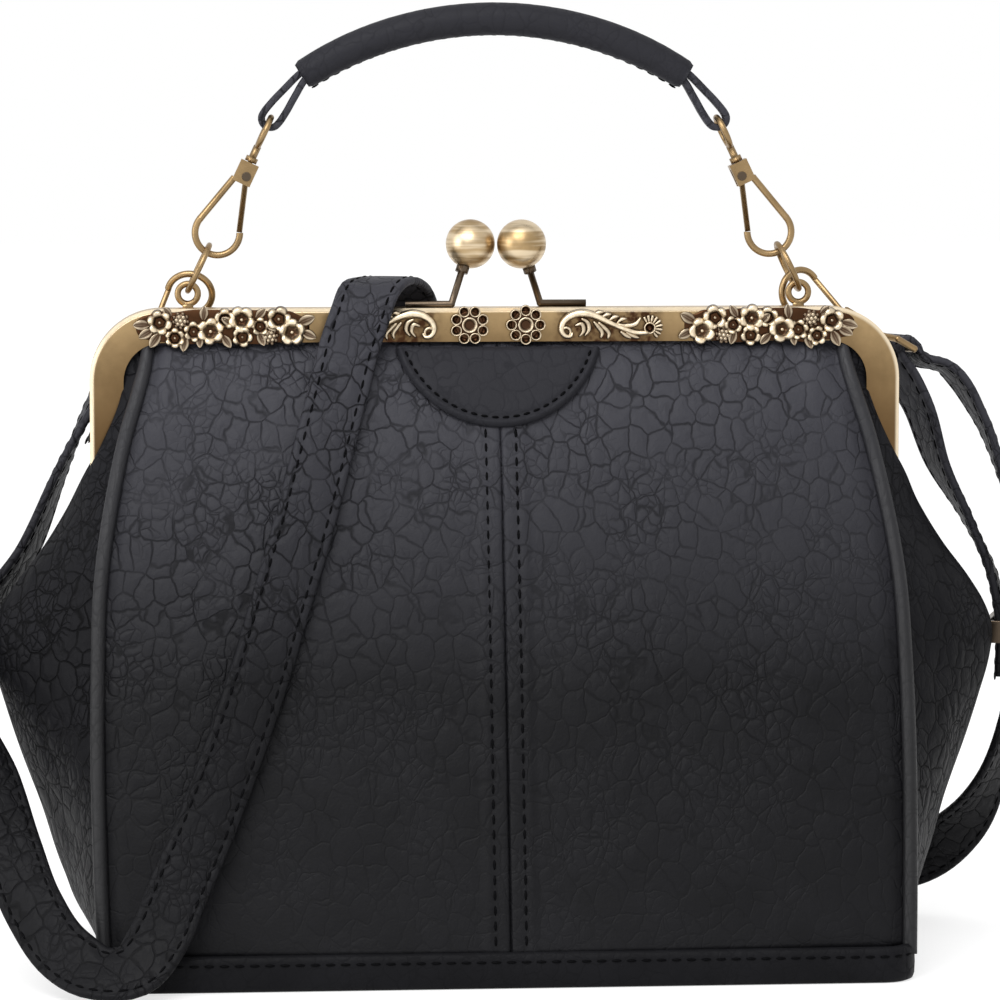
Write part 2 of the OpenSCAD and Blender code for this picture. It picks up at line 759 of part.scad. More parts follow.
// An open cup between outer and inner rings, each from the bottom up
module cup(outer, inner) {
    m = len(outer);
    n = len(outer[0]);
    base = m * n;
    walls = [for (i = [0:m - 2]) for (j = [0:n - 1]) let (k = (j + 1) % n) each [
        [i * n + j, (i + 1) * n + k, i * n + k],
        [i * n + j, (i + 1) * n + j, (i + 1) * n + k],
        [base + i * n + j, base + i * n + k, base + (i + 1) * n + k],
        [base + i * n + j, base + (i + 1) * n + k, base + (i + 1) * n + j]
    ]];
    rim = [for (j = [0:n - 1]) let (k = (j + 1) % n, a = (m - 1) * n) each [
        [a + j, base + a + k, a + k],
        [a + j, base + a + j, base + a + k]
    ]];
    floors = [for (j = [1:n - 2]) each [[0, j, j + 1], [base, base + j + 1, base + j]]];
    polyhedron(concat(flat_list(outer), flat_list(inner)), concat(walls, rim, floors), convexity = 6);
}

module lining_pouch() {
    floor_z = leather_t + board_t + 0.2;
    heights = [floor_z, 12, 30, 50, 70, fold_z, lining_top_z];
    outer = [for (z = heights)
        lining_ring(max(z, base_edge), 0) + [for (k = [0:11]) [0, 0, min(0, z - base_edge)]]];
    inner = [for (k = [0:len(heights) - 1])
        let (z = heights[k])
        lining_ring(max(z, base_edge), lining_t)
            + [for (q = [0:11]) [0, 0, min(0, z - base_edge) + (k == 0 ? lining_t : 0)]]];
    color(dark_cloth) cup(outer, inner);
}

module lining_top() {
    cols = 6;
    rows = 5;
    z0 = front_cut_z + 1;
    z1 = bar_bottom - 2.5;
    g = [for (i = [0:cols]) [for (j = [0:rows])
        let (z = z0 + (z1 - z0) * j / rows, half = panel_half(z) - 5, x = half * (2 * i / cols - 1))
        [x, -panel_face(x, z), z]]];
    thick_sheet(shifted_grid(g, -leather_t - lining_gap), lining_t);
}

module front_lining_top() {
    color(dark_cloth) lining_top();
}

module back_lining_top() {
    color(dark_cloth) mirror([0, 1, 0]) lining_top();
}

// Draws a part of the grip's arc, from one end's angle to the other's
module grip_arc(half_angle) {
    translate([0, eye_y, grip_centre_z]) rotate([90, 0, 0]) rotate([0, 0, 90 - half_angle])
        rotate_extrude(angle = 2 * half_angle, $fn = 180) translate([grip_r, 0]) children();
}

module handle_grip() {
    color(black_leather) grip_arc(grip_half_angle) difference() {
        circle(d = grip_d, $fn = fine);
        circle(d = grip_d - 2 * grip_wall, $fn = fine);
    }
}

module handle_core() {
    tail_angle = (tail_l + 1) / grip_r * 180 / PI;
    color(board_grey) grip_arc(grip_half_angle - tail_angle)
        circle(d = grip_d - 2 * grip_wall - 2 * core_gap, $fn = fine);
}

// A strip of leather round the swivel's ring with both ends in the grip, for the right side
module handle_loop() {
    r = loop_in + loop_t;
    away = grip_end - loop_seat;
    far = norm(away);
    lean = atan2(away[0], away[1]);
    spread = loop_t * 0.98;
    translate([0, eye_y + loop_w / 2, 0]) rotate([90, 0, 0]) linear_extrude(loop_w) {
        translate(loop_seat) rotate(-lean) difference() {
            union() {
                circle(r, $fn = fine);
                polygon([[-r, 0], [r, 0], [spread, far], [-spread, far]]);
            }
            circle(loop_in, $fn = fine);
            polygon([[-loop_in, 0], [loop_in, 0], [0.15, far - 3.5], [-0.15, far - 3.5]]);
        }
        translate(grip_end) rotate(90 - grip_half_angle) translate([-spread, -0.6])
            square([2 * spread, tail_l + 0.6]);
    }
}

module left_handle_loop() {
    color(black_leather) mirror([1, 0, 0]) handle_loop();
}

module right_handle_loop() {
    color(black_leather) handle_loop();
}

// A swivel hook, drawn with its bow's middle at the origin, its axis along +Z and its gate on the +X side
module hook_body() {
    arm_foot = bow_r * [-cos(arm_angle), 0, sin(arm_angle)];
    arm_l = (arm_top - arm_foot[2]) / cos(arm_angle);
    fork_h = hook_top - fork_low;
    difference() {
        union() {
            rotate([90, 0, 0]) rotate([0, 0, -180 - arm_angle])
                rotate_extrude(angle = bow_end_angle + 180 + arm_angle, $fn = fine)
                    translate([bow_r, 0]) circle(d = hook_wire_d, $fn = 24);
            translate(arm_foot) sphere(d = hook_wire_d + 0.1, $fn = fine);
            rod(arm_foot, arm_foot + arm_l * [sin(arm_angle), 0, cos(arm_angle)], hook_wire_d);
            for (y = [-fork_out / 2, fork_gap / 2]) translate([fork_x, y, fork_low])
                cube([fork_w, (fork_out - fork_gap) / 2, fork_h]);
            translate([fork_x, -fork_out / 2, fork_low]) cube([fork_wall, fork_out, fork_h]);
            translate([fork_x, -fork_out / 2, hook_top - fork_wall]) cube([fork_w, fork_out, fork_wall]);
        }
        translate([gate_pivot[0], 5, gate_pivot[1]]) rotate([90, 0, 0])
            cylinder(d = rivet_d + 2 * pin_play, h = 10, $fn = fine);
        translate([0, 0, hook_top - 2]) cylinder(d = stem_d + 2 * pin_play, h = 4, $fn = fine);
    }
}

module hook_rivet() {
    head = 0.4;
    translate([gate_pivot[0], 0, gate_pivot[1]]) rotate([90, 0, 0]) {
        cylinder(d = rivet_d, h = fork_out, center = true, $fn = fine);
        for (s = [-1, 1]) translate([0, 0, s * (fork_out / 2 + head / 2)])
            cylinder(r = 1.2, h = head, center = true, $fn = fine);
    }
}

module hook_gate() {
    tip = [(bow_r + 0.1) * cos(bow_end_angle + 11), 0, (bow_r + 0.1) * sin(bow_end_angle + 11)];
    top = [gate_pivot[0], 0, gate_pivot[1]];
    difference() {
        union() {
            rod(tip, top, gate_d);
            translate(top) rotate([90, 0, 0])
                cylinder(r = 1.3, h = fork_gap - play, center = true, $fn = fine);
        }
        translate(top) rotate([90, 0, 0])
            cylinder(d = rivet_d + 2 * pin_play, h = 6, center = true, $fn = fine);
    }
}

// The swivel's stem and collar, up to height z
module swivel_stem(z) {
    translate([0, 0, hook_top - 2.05]) cylinder(d = head_d, h = 0.8, $fn = fine);
    translate([0, 0, hook_top - 2]) cylinder(d = stem_d, h = 2 + 0.4, $fn = fine);
    translate([0, 0, hook_top + 0.15]) cylinder(d = 3.2, h = 1.4, $fn = fine);
    translate([0, 0, hook_top + 1]) cylinder(d = 2, h = z - hook_top - 1, $fn = fine);
}

module handle_swivel() {
    swivel_stem(swivel_mid - swivel_r);
    translate([0, 0, swivel_mid]) rotate([0, 90, 0]) wire_ring(swivel_r, swivel_wire_d);
}

// A swivel with a wide loop for the shoulder strap, its long way along Y
module strap_swivel() {
    corners = [[-dee_half, dee_near + 2], [-dee_half, dee_far], [dee_half, dee_far],
               [dee_half, dee_near + 2], [3, dee_near], [-3, dee_near]];
    swivel_stem(dee_near);
    for (k = [0:5]) {
        p = corners[k];
        q = corners[(k + 1) % 6];
        rod([0, p[0], p[1]], [0, q[0], q[1]], dee_wire_d);
        translate([0, p[0], p[1]]) sphere(d = dee_wire_d + 0.1, $fn = fine);
    }
}

// Places a hook drawn at the origin on the right jump ring
module on_ring() {
    translate([bow_mid[0], eye_y, bow_mid[1]]) rotate([0, -hook_lean, 0]) mirror([1, 0, 0]) children();
}

module left_handle_hook() {
    color(brass) mirror([1, 0, 0]) on_ring() hook_body();
}

module right_handle_hook() {
    color(brass) on_ring() hook_body();
}

module left_handle_gate() {
    color(brass) mirror([1, 0, 0]) on_ring() hook_gate();
}

module right_handle_gate() {
    color(brass) on_ring() hook_gate();
}

module left_handle_hook_rivet() {
    color(brass) mirror([1, 0, 0]) on_ring() hook_rivet();
}

module right_handle_hook_rivet() {
    color(brass) on_ring() hook_rivet();
}

module left_handle_swivel() {
    color(brass) mirror([1, 0, 0]) on_ring() handle_swivel();
}

module right_handle_swivel() {
    color(brass) on_ring() handle_swivel();
}

// Places the left strap hook, which hangs steeply behind the frame's left corner
module left_strap_place() {
    translate([-eye_x + 0.6, strap_bow_y, strap_bow_z])
        rotate([0, 0, -6.6]) rotate([24, 0, 0]) rotate([0, -140, 0]) children();
}

// Places the right strap hook, which lies flatter and points outwards
module right_strap_place() {
    translate([eye_x + 1.2, strap_bow_y, strap_bow_z])
        rotate([0, 0, 26]) rotate([0, 117, 0]) children();
}

module left_strap_hook() {
    color(brass) left_strap_place() hook_body();
}

module right_strap_hook() {
    color(brass) right_strap_place() mirror([1, 0, 0]) hook_body();
}

module left_strap_gate() {
    color(brass) left_strap_place() hook_gate();
}

module right_strap_gate() {
    color(brass) right_strap_place() mirror([1, 0, 0]) hook_gate();
}

module left_strap_hook_rivet() {
    color(brass) left_strap_place() hook_rivet();
}

module right_strap_hook_rivet() {
    color(brass) right_strap_place() mirror([1, 0, 0]) hook_rivet();
}

module left_strap_swivel() {
    color(brass) left_strap_place() strap_swivel();
}

module right_strap_swivel() {
    color(brass) right_strap_place() strap_swivel();
}

module shoulder_strap() {
    color(black_leather) ring_tube(strap_rings(fitted_rows(STRAP), strap_w, strap_t));
}

module strap_return() {
    color(black_leather) ring_tube(strap_rings(fitted_rows(STRAP_RETURN), strap_w, strap_t));
}

// A flat slide buckle round both layers of the strap
module strap_slider() {
    thick = 1.6;
    long = 6;
    wide = strap_w + 7;
    deep = 2 * strap_t + 7.8;
    translate(fitted(slider_at)) rotate([0, 0, -17]) color(brass) {
        difference() {
            cube([deep, wide, long], center = true);
            cube([deep - 2 * thick, wide - 2 * thick, long + 1], center = true);
        }
        cube([1.2, wide - thick, 2], center = true);
    }
}

front_frame();
back_frame();
hinge_rivets();
front_lock_arm();
front_lock_ball();
back_lock_arm();
back_lock_ball();
left_flower_spray();
right_flower_spray();
left_scroll();
right_scroll();
left_rosette();
right_rosette();
left_frame_eye();
right_frame_eye();
left_jump_ring();
right_jump_ring();
front_crimp_cord();
back_crimp_cord();
front_left_panel();
front_right_panel();
front_left_panel_top();
front_right_panel_top();
back_left_panel();
back_right_panel();
left_gusset();
right_gusset();
base_panel();
base_board();
front_pipings();
front_piping_tops();
back_pipings();
front_tab();
lining_pouch();
front_lining_top();
back_lining_top();
handle_grip();
handle_core();
left_handle_loop();
right_handle_loop();
left_handle_swivel();
right_handle_swivel();
left_handle_hook();
right_handle_hook();
left_handle_gate();
right_handle_gate();
left_handle_hook_rivet();
right_handle_hook_rivet();
left_strap_swivel();
right_strap_swivel();
left_strap_hook();
right_strap_hook();
left_strap_gate();
right_strap_gate();
left_strap_hook_rivet();
right_strap_hook_rivet();
shoulder_strap();
strap_return();
strap_slider();
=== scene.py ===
import contextlib
import math
import random

import bmesh
import bpy
import numpy as np
from bpy.props import FloatProperty, FloatVectorProperty, PointerProperty
from mathutils import Matrix, Vector, noise


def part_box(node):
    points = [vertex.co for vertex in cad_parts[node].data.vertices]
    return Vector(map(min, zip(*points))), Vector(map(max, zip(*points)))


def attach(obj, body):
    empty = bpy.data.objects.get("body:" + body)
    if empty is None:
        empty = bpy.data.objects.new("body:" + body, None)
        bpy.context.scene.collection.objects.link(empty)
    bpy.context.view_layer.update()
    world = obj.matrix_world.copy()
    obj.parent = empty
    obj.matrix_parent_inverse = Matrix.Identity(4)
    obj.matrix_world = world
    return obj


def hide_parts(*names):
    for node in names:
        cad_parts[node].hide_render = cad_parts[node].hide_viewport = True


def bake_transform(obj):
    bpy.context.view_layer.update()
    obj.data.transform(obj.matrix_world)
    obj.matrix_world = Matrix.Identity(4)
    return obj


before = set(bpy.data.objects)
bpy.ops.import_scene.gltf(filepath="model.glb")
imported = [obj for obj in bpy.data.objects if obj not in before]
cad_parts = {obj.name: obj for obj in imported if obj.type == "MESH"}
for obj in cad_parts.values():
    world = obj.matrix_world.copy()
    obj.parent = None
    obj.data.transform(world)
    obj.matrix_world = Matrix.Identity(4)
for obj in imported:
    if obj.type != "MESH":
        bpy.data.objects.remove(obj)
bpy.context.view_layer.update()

bl_info = {
    "name": "Kiss Lock Frame Handbag",
    "version": (1, 0, 0),
    "blender": (4, 5, 0),
    "location": "View3D > Sidebar > Handbag",
    "description": "Leather handbag on an antique brass kiss lock frame",
    "category": "Add Mesh",
}

MM = 0.001


def corners(node):
    """The two corners of a CAD node's box, in millimetres."""
    return [np.array(corner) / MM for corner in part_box(node)]


FRAME_HALF, _, FRAME_TOP = corners("front_frame")[1]
FRAME_FACE = -corners("front_frame")[0][1]
CORNER_R = 18.7             # the frame's outer corners
BAR_H = 8.8                 # height of the frame's top bar
BAR_BOTTOM = FRAME_TOP - BAR_H
BAR_MID = FRAME_TOP - BAR_H / 2
BASE_HALF, BASE_DEPTH, BASE_EDGE = corners("base_panel")[1]
BASE_CORNER = 9.0
LEATHER_T = 1.6
PIPING_R = 1.9
SEAM_STITCH = 3.9           # from the middle seam to the stitches beside it
TAB_R = 28.0
TAB_TOP = BAR_BOTTOM - 2.4
TAB_CENTRE = BAR_BOTTOM + 6.2
TAB_STITCH = 2.2            # from the tab's edge to its stitches
TUCK_LOW, TUCK_HIGH = 118.0, 130.0      # heights between which a side fold moves in front of the leg
FOLD_TOP = 161.6
LINING_TOP = 122
GRIP_Y = (corners("handle_grip")[0][1] + corners("handle_grip")[1][1]) / 2
GRIP_SPAN, GRIP_DROP = 100.2, 14.8      # the grip's arc: its chord and its rise
GRIP_TOP = FRAME_TOP + 74.7
GRIP_R = ((GRIP_SPAN / 2) ** 2 + GRIP_DROP ** 2) / (2 * GRIP_DROP)
GRIP_HALF = math.asin(GRIP_SPAN / 2 / GRIP_R)
GRIP_THICK = 4.3
STRAP_W, STRAP_T = 15.5, 2.4
STRAP_STITCH = 0.72         # share of the strap's half width at which its stitches lie
BAR_TURN_R = 2.35           # the strap's middle line round a loop's bar
UV_SCALE = 10 * MM
SEED = 7
ENDS = (("front", 1), ("back", -1))
RIGHT_LEFT = (("right", 1), ("left", -1))
LEFT_RIGHT = RIGHT_LEFT[::-1]

# Where leather is meant to turn with the frame's front half: not at all at the first point, fully at the
# second. The script reads them only as a sign to bake a piece's transform in place; nothing turns the
# leather.
PANEL_FOLD = ((0.0, 0.0, 108 * MM), (0.0, 0.0, 150 * MM))
STRAP_FOLD = ((0.0, 0.0, 145 * MM), (0.0, -10.8 * MM, 154 * MM))


class HandbagLeather(bpy.types.PropertyGroup):
    colour: FloatVectorProperty(
        name="Colour", description="Colour of the leather", subtype="COLOR", size=3,
        default=(0.0039, 0.0039, 0.0047), min=0, max=1)
    crackle: FloatProperty(
        name="Crackle Size", description="Size of the crackled grain's cells", unit="LENGTH",
        default=5.6 * MM, min=2 * MM, max=30 * MM)
    depth: FloatProperty(
        name="Crackle Depth", description="Depth of the creases between the cells", unit="LENGTH",
        default=0.2 * MM, min=0, max=MM)
    roughness: FloatProperty(
        name="Roughness", description="Roughness of the leather's surface", subtype="FACTOR",
        default=0.5, min=0, max=1)


class HandbagBrass(bpy.types.PropertyGroup):
    colour: FloatVectorProperty(
        name="Colour", description="Colour of the rubbed brass", subtype="COLOR", size=3,
        default=(0.42, 0.29, 0.145), min=0, max=1)
    bright: FloatVectorProperty(
        name="Bright Colour", description="Colour of the relief's high parts", subtype="COLOR", size=3,
        default=(0.91, 0.77, 0.56), min=0, max=1)
    patina: FloatVectorProperty(
        name="Patina", description="Colour of the dark patina in the recesses", subtype="COLOR", size=3,
        default=(0.055, 0.025, 0.012), min=0, max=1)
    roughness: FloatProperty(
        name="Roughness", description="Roughness of the rubbed brass", subtype="FACTOR",
        default=0.3, min=0, max=1)


class HandbagSewing(bpy.types.PropertyGroup):
    pitch: FloatProperty(
        name="Pitch", description="Distance from one stitch to the next", unit="LENGTH",
        default=3.8 * MM, min=MM, max=10 * MM)
    length: FloatProperty(
        name="Stitch Length", description="Length of one stitch", unit="LENGTH",
        default=2.6 * MM, min=0.5 * MM, max=10 * MM)
    thread: FloatProperty(
        name="Thread", description="Thickness of the thread", unit="LENGTH",
        default=0.75 * MM, min=0.2 * MM, max=2 * MM)
    colour: FloatVectorProperty(
        name="Colour", description="Colour of the thread", subtype="COLOR", size=3,
        default=(0.0012, 0.0012, 0.0015), min=0, max=1)


class HandbagStage(bpy.types.PropertyGroup):
    floor: FloatVectorProperty(
        name="Floor", description="Colour of the floor", subtype="COLOR", size=3,
        default=(0.93, 0.93, 0.93), min=0, max=1)
    key: FloatProperty(
        name="Key Light", description="Power of the large lamp above the front", unit="POWER",
        default=14.0, min=0, max=200)
    fill: FloatProperty(
        name="Fill Light", description="Power of the lamp at the left", unit="POWER",
        default=6.0, min=0, max=200)


# Curves


def steady_curve(table):
    """A smooth function through the table's (position, value) rows."""
    xs, ys = np.array(table, float).T
    slopes = np.gradient(ys, xs)

    def value(x):
        x = np.clip(np.asarray(x, float), xs[0], xs[-1])
        k = np.clip(np.searchsorted(xs, x) - 1, 0, len(xs) - 2)
        span = xs[k + 1] - xs[k]
        t = (x - xs[k]) / span
        low = (1 + 2 * t) * (1 - t) ** 2 * ys[k] + t * (1 - t) ** 2 * span * slopes[k]
        high = t * t * (3 - 2 * t) * ys[k + 1] + t * t * (t - 1) * span * slopes[k + 1]
        return low + high

    return value


def blend_step(x, a, b):
    t = np.clip((np.asarray(x, float) - a) / (b - a), 0, 1)
    return t * t * (3 - 2 * t)


# Half the width of the panels, and of the side folds, by height
panel_half = steady_curve([
    (0, 100.5), (30, 101.6), (60, 102.2), (80, 102.0), (100, 101.2), (122, 98), (138, 94.5),
    (149, 91.2), (156, 89.4), (161, 88.7), (170, 88.7)])
fold_half = steady_curve([
    (0, 104), (9.5, 105.5), (14, 109), (24, 113.5), (41, 119), (56, 124.5), (67, 128), (78, 131),
    (85, 131.6), (92, 129.2), (98, 125.5), (108, 118), (118, 111.8), (126, 107.6), (132, 104.2),
    (138, 101.2), (143, 99.0), (147, 97.6), (150, 97.0), (153, 96.8), (157, 95.6), (160, 93.2), (162, 90.5)])


def panel_face(x, z):
    """How far the panel's smooth outer face stands from the middle plane."""
    z = np.asarray(z, float)
    rise = np.clip((BAR_BOTTOM - z) / BAR_BOTTOM, 0, None)
    drop = 4.0 * np.clip((BAR_BOTTOM - z) / 30, 0, 1)
    return 3.0 + (BASE_DEPTH - 3.0) * rise ** 0.7 - drop * (np.abs(x) / panel_half(z)) ** 2.5


def rumple(points, size, seed=0):
    """Soft noise from -1 to 1 at each point, for folds of about that size."""
    flat = np.asarray(points, float).reshape(-1, 3) / size
    values = [noise.noise(Vector((p[0], p[1], p[2] + 17.3 * seed))) for p in flat]
    return np.array(values).reshape(np.asarray(points).shape[:-1])


def unit(v):
    v = np.asarray(v, float)
    return v / max(np.linalg.norm(v), 1e-9)


def circle(sides, turn=0.0):
    """Cosine and sine of equal steps round a circle."""
    return [(math.cos(2 * math.pi * k / sides + turn), math.sin(2 * math.pi * k / sides + turn))
            for k in range(sides)]


def smooth_rows(points, steps=None, spacing=3.0, others=()):
    """Points on a smooth curve through the given ones, with other values carried along beside them."""
    tracks = [[np.asarray(q, float) for q in track] for track in (points, *others)]
    spans = [max(float(np.linalg.norm(b - a)), 1e-6) for a, b in zip(tracks[0], tracks[0][1:])]

    def slope(track, i):
        if i == 0:
            return (track[1] - track[0]) / spans[0]
        if i == len(track) - 1:
            return (track[-1] - track[-2]) / spans[-1]
        a, b = spans[i - 1], spans[i]
        return ((track[i] - track[i - 1]) / a * b + (track[i + 1] - track[i]) / b * a) / (a + b)

    made = [[] for _ in tracks]
    for i, h in enumerate(spans):
        count = steps or max(1, math.ceil(h / spacing))
        for t in (k / count for k in range(count)):
            w = (1 - 3 * t * t + 2 * t ** 3, (t - 2 * t * t + t ** 3) * h,
                 3 * t * t - 2 * t ** 3, (t ** 3 - t * t) * h)
            for track, out in zip(tracks, made):
                out.append(w[0] * track[i] + w[1] * slope(track, i)
                           + w[2] * track[i + 1] + w[3] * slope(track, i + 1))
    for track, out in zip(tracks, made):
        out.append(track[-1])
    return made


def frames_along(path, across=None):
    """Side and face directions at each point of a path, without twist."""
    rows = []
    side = None
    for i in range(len(path)):
        t = unit(np.asarray(path[min(i + 1, len(path) - 1)]) - np.asarray(path[max(i - 1, 0)]))
        if across is not None:
            side = np.asarray(across[i] if np.ndim(across) > 1 else across, float)
        elif side is None:
            side = np.array((0.0, 1.0, 0.0)) if abs(t[1]) < 0.9 else np.array((1.0, 0.0, 0.0))
        side = unit(side - np.dot(side, t) * t)
        rows.append((side, np.cross(side, t)))
    return rows


# Meshes


def link(name, mesh):
    piece = bpy.data.objects.new(name, mesh)
    bpy.context.scene.collection.objects.link(piece)
    return piece


def smooth_shaded(mesh):
    mesh.polygons.foreach_set("use_smooth", [True] * len(mesh.polygons))


@contextlib.contextmanager
def edited(mesh):
    """The mesh as a bmesh, which is written back at the end."""
    work = bmesh.new()
    work.from_mesh(mesh)
    yield work
    work.to_mesh(mesh)
    work.free()


def new_piece(name, points, faces, uvs=None, smooth=True):
    """A mesh piece from points in millimetres."""
    mesh = bpy.data.meshes.new(name)
    mesh.from_pydata([tuple(float(c) * MM for c in p) for p in points], [], [tuple(f) for f in faces])
    if uvs is not None:
        layer = mesh.uv_layers.new(name="UVMap")
        spread = [uvs[loop.vertex_index] for loop in mesh.loops]
        layer.data.foreach_set("uv", np.array(spread, np.float32).ravel())
    if smooth:
        smooth_shaded(mesh)
    mesh.update()
    return link(name, mesh)


def outward(piece, centre=None):
    """Turns every face of a mesh outwards; those of an open shell away from a point inside it."""
    with edited(piece.data) as work:
        bmesh.ops.recalc_face_normals(work, faces=work.faces[:])
        if centre is not None:
            middle = Vector(centre) * MM
            if sum(f.normal.dot(f.calc_center_median() - middle) * f.calc_area() for f in work.faces) < 0:
                bmesh.ops.reverse_faces(work, faces=work.faces[:])
    return piece


def grid_faces(m, n, wrap=False, flip=False):
    """Faces of an m by n grid of points, the second way closing on itself if it wraps."""
    faces = []
    for i in range(m - 1):
        for j in range(n if wrap else n - 1):
            k = (j + 1) % n
            quad = (i * n + j, (i + 1) * n + j, (i + 1) * n + k, i * n + k)
            faces.append(quad[::-1] if flip else quad)
    return faces


def add_wall(piece, thickness):
    """Thickens a sheet inwards."""
    wall = piece.modifiers.new("Wall", "SOLIDIFY")
    wall.thickness = thickness * MM
    wall.offset = -1
    return piece


def sheet_piece(name, grid, thickness, flip=False):
    """A sheet over a grid of points. The grid's first way crossed with its second points outwards."""
    m, n = grid.shape[:2]
    along = np.linalg.norm(np.diff(grid, axis=0), axis=2).mean(axis=1)
    across = np.linalg.norm(np.diff(grid, axis=1), axis=2).mean(axis=0)
    u = np.concatenate([[0], np.cumsum(along)]) * UV_SCALE
    v = np.concatenate([[0], np.cumsum(across)]) * UV_SCALE
    uvs = [(u[i], v[j]) for i in range(m) for j in range(n)]
    return add_wall(new_piece(name, grid.reshape(-1, 3), grid_faces(m, n, flip=flip), uvs), thickness)


def swept(name, path, section, across=None, scale=None):
    """A section, a list of (side, face) offsets, swept along a path and closed at its ends."""
    n = len(section)
    points, uvs = [], []
    run = 0.0
    for i, (p, (side, face)) in enumerate(zip(path, frames_along(path, across))):
        if i:
            run += float(np.linalg.norm(np.asarray(p) - np.asarray(path[i - 1])))
        k = 1.0 if scale is None else scale[i]
        points += [np.asarray(p) + k * (a * side + b * face) for a, b in section]
        uvs += [(run * UV_SCALE, j / n) for j in range(n)]
    faces = grid_faces(len(path), n, wrap=True, flip=True)
    faces += [tuple(range(n)), tuple(reversed(range((len(path) - 1) * n, len(path) * n)))]
    return outward(new_piece(name, points, faces, uvs))


def joined(name, pieces):
    """One piece from several."""
    mesh = bpy.data.meshes.new(name)
    with edited(mesh) as work:
        for piece in pieces:
            work.from_mesh(piece.data)
    for piece in pieces:
        old = piece.data
        bpy.data.objects.remove(piece)
        bpy.data.meshes.remove(old)
    return link(name, mesh)


def finish_piece(piece, look, body="bag", nodes=(), fold=None, crease=None):
    """Gives a piece its material and slot, its body, or where a fold is given its transform baked in place,
    and hides the CAD nodes it stands for.
    """
    piece.data.materials.clear()
    piece.data.materials.append(MATERIALS[look])
    if crease is not None:
        piece.data.set_sharp_from_angle(angle=math.radians(crease))
    if fold:
        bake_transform(piece)
    else:
        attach(piece, body)
    if nodes:
        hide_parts(*nodes)
    return piece


def from_node(name, node, bevel=0.0, crease=35):
    """A copy of a node's mesh with its loose triangles merged, and its edges rounded if asked."""
    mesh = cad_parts[node].data.copy()
    mesh.name = name
    with edited(mesh) as work:
        bmesh.ops.remove_doubles(work, verts=work.verts[:], dist=0.002 * MM)
        if bevel:
            bmesh.ops.dissolve_limit(work, angle_limit=math.radians(1), verts=work.verts[:],
                                     edges=work.edges[:])
    mesh.materials.clear()
    smooth_shaded(mesh)
    mesh.set_sharp_from_angle(angle=math.radians(crease))
    piece = link(name, mesh)
    if bevel:
        edge = piece.modifiers.new("Edges", "BEVEL")
        edge.width = bevel * MM
        edge.segments = 3
        edge.limit_method = "ANGLE"
        edge.angle_limit = math.radians(crease)
        edge.harden_normals = True
    return piece


# Node trees


class Nodes:
    """Builds a node tree. An input given as a socket is linked, and any other value is set."""

    def __init__(self, tree):
        self.tree = tree

    def put(self, kind, inputs=None, **settings):
        made = self.tree.nodes.new(kind)
        for key, value in settings.items():
            setattr(made, key, value)
        self.join(made, inputs or {})
        return made

    def join(self, node, inputs):
        for key, value in inputs.items():
            if isinstance(value, bpy.types.NodeSocket):
                self.tree.links.new(value, node.inputs[key])
            else:
                node.inputs[key].default_value = value

    def calc(self, operation, *values):
        return self.put("ShaderNodeMath", dict(enumerate(values)), operation=operation).outputs[0]

    def product(self, first, *others):
        for other in others:
            first = self.calc("MULTIPLY", first, other)
        return first

    def ramp(self, value, low, high, out_low=0.0, out_high=1.0, smooth=False):
        return self.put("ShaderNodeMapRange", dict(enumerate((value, low, high, out_low, out_high))),
                        interpolation_type="SMOOTHSTEP" if smooth else "LINEAR").outputs[0]

    def noise(self, place, scale, detail=3.0, roughness=0.5):
        return self.put("ShaderNodeTexNoise", {
            "Vector": place, "Scale": scale, "Detail": detail, "Roughness": roughness}).outputs[0]

    def stretched(self, place, scale):
        return self.put("ShaderNodeMapping", {"Vector": place, "Scale": scale}).outputs[0]

    def bump(self, height, strength, distance, normal=None, invert=False):
        inputs = {"Height": height, "Strength": strength, "Distance": distance}
        if normal:
            inputs["Normal"] = normal
        return self.put("ShaderNodeBump", inputs, invert=invert).outputs[0]

    def mix(self, factor, a, b):
        """Two colours, or sockets that give them, mixed by a factor."""
        made = self.put("ShaderNodeMix", {0: factor}, data_type="RGBA")
        sockets = [s for s in made.inputs if s.type == "RGBA"]
        for socket, value in zip(sockets, (a, b)):
            if isinstance(value, bpy.types.NodeSocket):
                self.tree.links.new(value, socket)
            else:
                socket.default_value = (*value[:3], 1)
        return [s for s in made.outputs if s.type == "RGBA"][0]


def new_material(name):
    """A material, its tree's builder, its shader, and the place on the object as a vector and as x, y, z."""
    material = bpy.data.materials.new(name)
    material.use_nodes = True
    g = Nodes(material.node_tree)
    g.tree.nodes.clear()
    shader = g.put("ShaderNodeBsdfPrincipled")
    g.put("ShaderNodeOutputMaterial", {"Surface": shader.outputs[0]})
    place = g.put("ShaderNodeTexCoord").outputs["Object"]
    return material, g, shader, place, g.put("ShaderNodeSeparateXYZ", {0: place}).outputs


